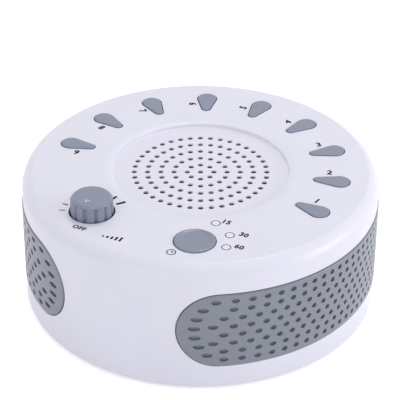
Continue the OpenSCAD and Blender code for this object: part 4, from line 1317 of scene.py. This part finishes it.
class SOUNDMACHINE_OT_studio(bpy.types.Operator):
    """Set up the floor, the lights and the camera"""

    bl_idname = "soundmachine.studio"
    bl_label = "Set Up Studio"

    def execute(self, context):
        studio = context.scene.sound_machine_studio
        make_floor()
        make_world(studio)
        for name, place, size, setting in SOFTBOXES:
            softbox(name, Vector(place), size, getattr(studio, setting))
        make_camera(studio)
        context.scene.view_settings.view_transform = "Standard"
        return {"FINISHED"}


# ---------------------------------------------------------------- studio


FLOOR_HALF = 6.0
FLOOR_LIFT = 0.45  # the floor's own light where it is seen, which makes it white
LIGHTS_AIM = Vector((0, 0, 0.03))
SOFTBOXES = (  # name, place, size, and the setting with its power
    ("overhead_softbox", (-0.05, 0.42, 0.95), 0.35, "key"),
    ("front_softbox", (-0.1, -1.2, 0.28), 0.8, "fill"),
    ("right_softbox", (1.1, 0.3, 0.2), 0.6, "side"),
    ("front_top_softbox", (0.28, -0.55, 0.9), 0.3, "edges"),
)
CAMERA_AIM = Vector((-0.14, 30.08, 0)) * MM  # from the middle of the base, to the right and up in the picture


def seen_directly(nodes, links):
    """1 for camera, glossy and transmission rays, 0 for the light that falls on the object."""
    path = nodes.new("ShaderNodeLightPath")
    value = path.outputs["Is Camera Ray"]
    for name in ("Is Glossy Ray", "Is Transmission Ray"):
        larger = nodes.new("ShaderNodeMath")
        larger.operation = "MAXIMUM"
        links.new(value, larger.inputs[0])
        links.new(path.outputs[name], larger.inputs[1])
        value = larger.outputs[0]
    return value


def make_floor():
    """A wide pale floor that keeps the object's shadow and otherwise shows white."""
    corners = ((-1, -1), (1, -1), (1, 1), (-1, 1))
    mesh = bpy.data.meshes.new("floor")
    mesh.from_pydata([(FLOOR_HALF * x, FLOOR_HALF * y, 0) for x, y in corners], [], [(0, 1, 2, 3)])
    material, nodes, links, shader, where = finish_nodes("white_paper")
    drift = noise(nodes, links, where, 300 * MM)
    links.new(two_tone(nodes, links, drift, (0.9, 0.9, 0.91), 0.01), shader.inputs["Base Color"])
    shader.inputs["Roughness"].default_value = 0.9
    shader.inputs["Specular IOR Level"].default_value = 0.1
    shader.inputs["Emission Color"].default_value = (1, 1, 1, 1)
    lift = nodes.new("ShaderNodeMath")
    lift.operation = "MULTIPLY"
    lift.inputs[1].default_value = FLOOR_LIFT
    links.new(seen_directly(nodes, links), lift.inputs[0])
    links.new(lift.outputs[0], shader.inputs["Emission Strength"])
    floor = add_piece("floor", mesh, material)


def make_world(studio):
    """Soft light from all round, seen as white."""
    world = bpy.data.worlds.new("studio")
    bpy.context.scene.world = world
    world.use_nodes = True
    nodes, links = world.node_tree.nodes, world.node_tree.links
    ranged = nodes.new("ShaderNodeMapRange")
    ranged.inputs["To Min"].default_value = studio.ambient
    links.new(seen_directly(nodes, links), ranged.inputs["Value"])
    links.new(ranged.outputs["Result"], nodes["Background"].inputs["Strength"])
    nodes["Background"].inputs["Color"].default_value = (1, 1, 1, 1)


def softbox(name, place, size, power):
    """A square area light aimed at the machine."""
    light = bpy.data.lights.new(name, "AREA")
    light.shape = "SQUARE"
    light.size = size
    light.energy = power
    lamp = bpy.data.objects.new(name, light)
    lamp.location = place
    lamp.rotation_mode = "QUATERNION"
    lamp.rotation_quaternion = (place - LIGHTS_AIM).to_track_quat("Z", "Y")
    bpy.context.scene.collection.objects.link(lamp)


def make_camera(studio):
    """The camera, aimed a little above the middle of the base."""
    a, e = studio.azimuth, studio.elevation
    base = UP * WALL_Z
    away = Vector((math.sin(a) * math.cos(e), -math.cos(a) * math.cos(e), math.sin(e)))
    right0 = Vector((math.cos(a), math.sin(a), 0))
    up0 = away.cross(right0)
    place = base + away * studio.distance
    target = base + right0 * CAMERA_AIM.x + up0 * CAMERA_AIM.y
    forward = (target - place).normalized()
    right = forward.cross(UP).normalized()
    up = right.cross(forward)
    c, s = math.cos(studio.roll), math.sin(studio.roll)
    right, up = right * c + up * s, up * c - right * s
    data = bpy.data.cameras.new("camera")
    data.lens = studio.lens
    data.sensor_width = 36
    data.clip_start = 0.01
    data.clip_end = 50
    camera = bpy.data.objects.new("camera", data)
    axes = Matrix((right, up, -forward)).transposed()
    camera.matrix_world = Matrix.Translation(place) @ axes.to_4x4()
    bpy.context.scene.collection.objects.link(camera)
    bpy.context.scene.camera = camera


# ---------------------------------------------------------------- add-on


class SOUNDMACHINE_PT_panel(bpy.types.Panel):
    """Sidebar panel of the sound machine"""

    bl_label = "Sound Machine"
    bl_idname = "SOUNDMACHINE_PT_panel"
    bl_space_type = "VIEW_3D"
    bl_region_type = "UI"
    bl_category = "Sound Machine"

    def draw(self, context):
        scene = context.scene
        for group in (scene.sound_machine_shape, scene.sound_machine_colours, scene.sound_machine_studio):
            box = self.layout.box()
            for name in group.__annotations__:
                box.prop(group, name)
        for operator in OPERATORS:
            self.layout.operator(operator.bl_idname)


GROUPS = {
    "sound_machine_shape": SoundMachineShape,
    "sound_machine_colours": SoundMachineColours,
    "sound_machine_studio": SoundMachineStudio,
}
OPERATORS = (
    SOUNDMACHINE_OT_frame,
    SOUNDMACHINE_OT_housing,
    SOUNDMACHINE_OT_grips,
    SOUNDMACHINE_OT_buttons,
    SOUNDMACHINE_OT_timer,
    SOUNDMACHINE_OT_knob,
    SOUNDMACHINE_OT_prints,
    SOUNDMACHINE_OT_studio,
)


def register():
    """Registers the classes and adds the settings to the scene."""
    for made in (*GROUPS.values(), *OPERATORS, SOUNDMACHINE_PT_panel):
        bpy.utils.register_class(made)
    for name, group in GROUPS.items():
        setattr(bpy.types.Scene, name, PointerProperty(type=group))


def unregister():
    """Removes the settings and the classes."""
    for name in GROUPS:
        delattr(bpy.types.Scene, name)
    for made in reversed((*GROUPS.values(), *OPERATORS, SOUNDMACHINE_PT_panel)):
        bpy.utils.unregister_class(made)


def main():
    """Builds everything."""
    register()
    for operator in OPERATORS:
        group, name = operator.bl_idname.split(".")
        getattr(getattr(bpy.ops, group), name)()


if __name__ == "__main__":
    main()
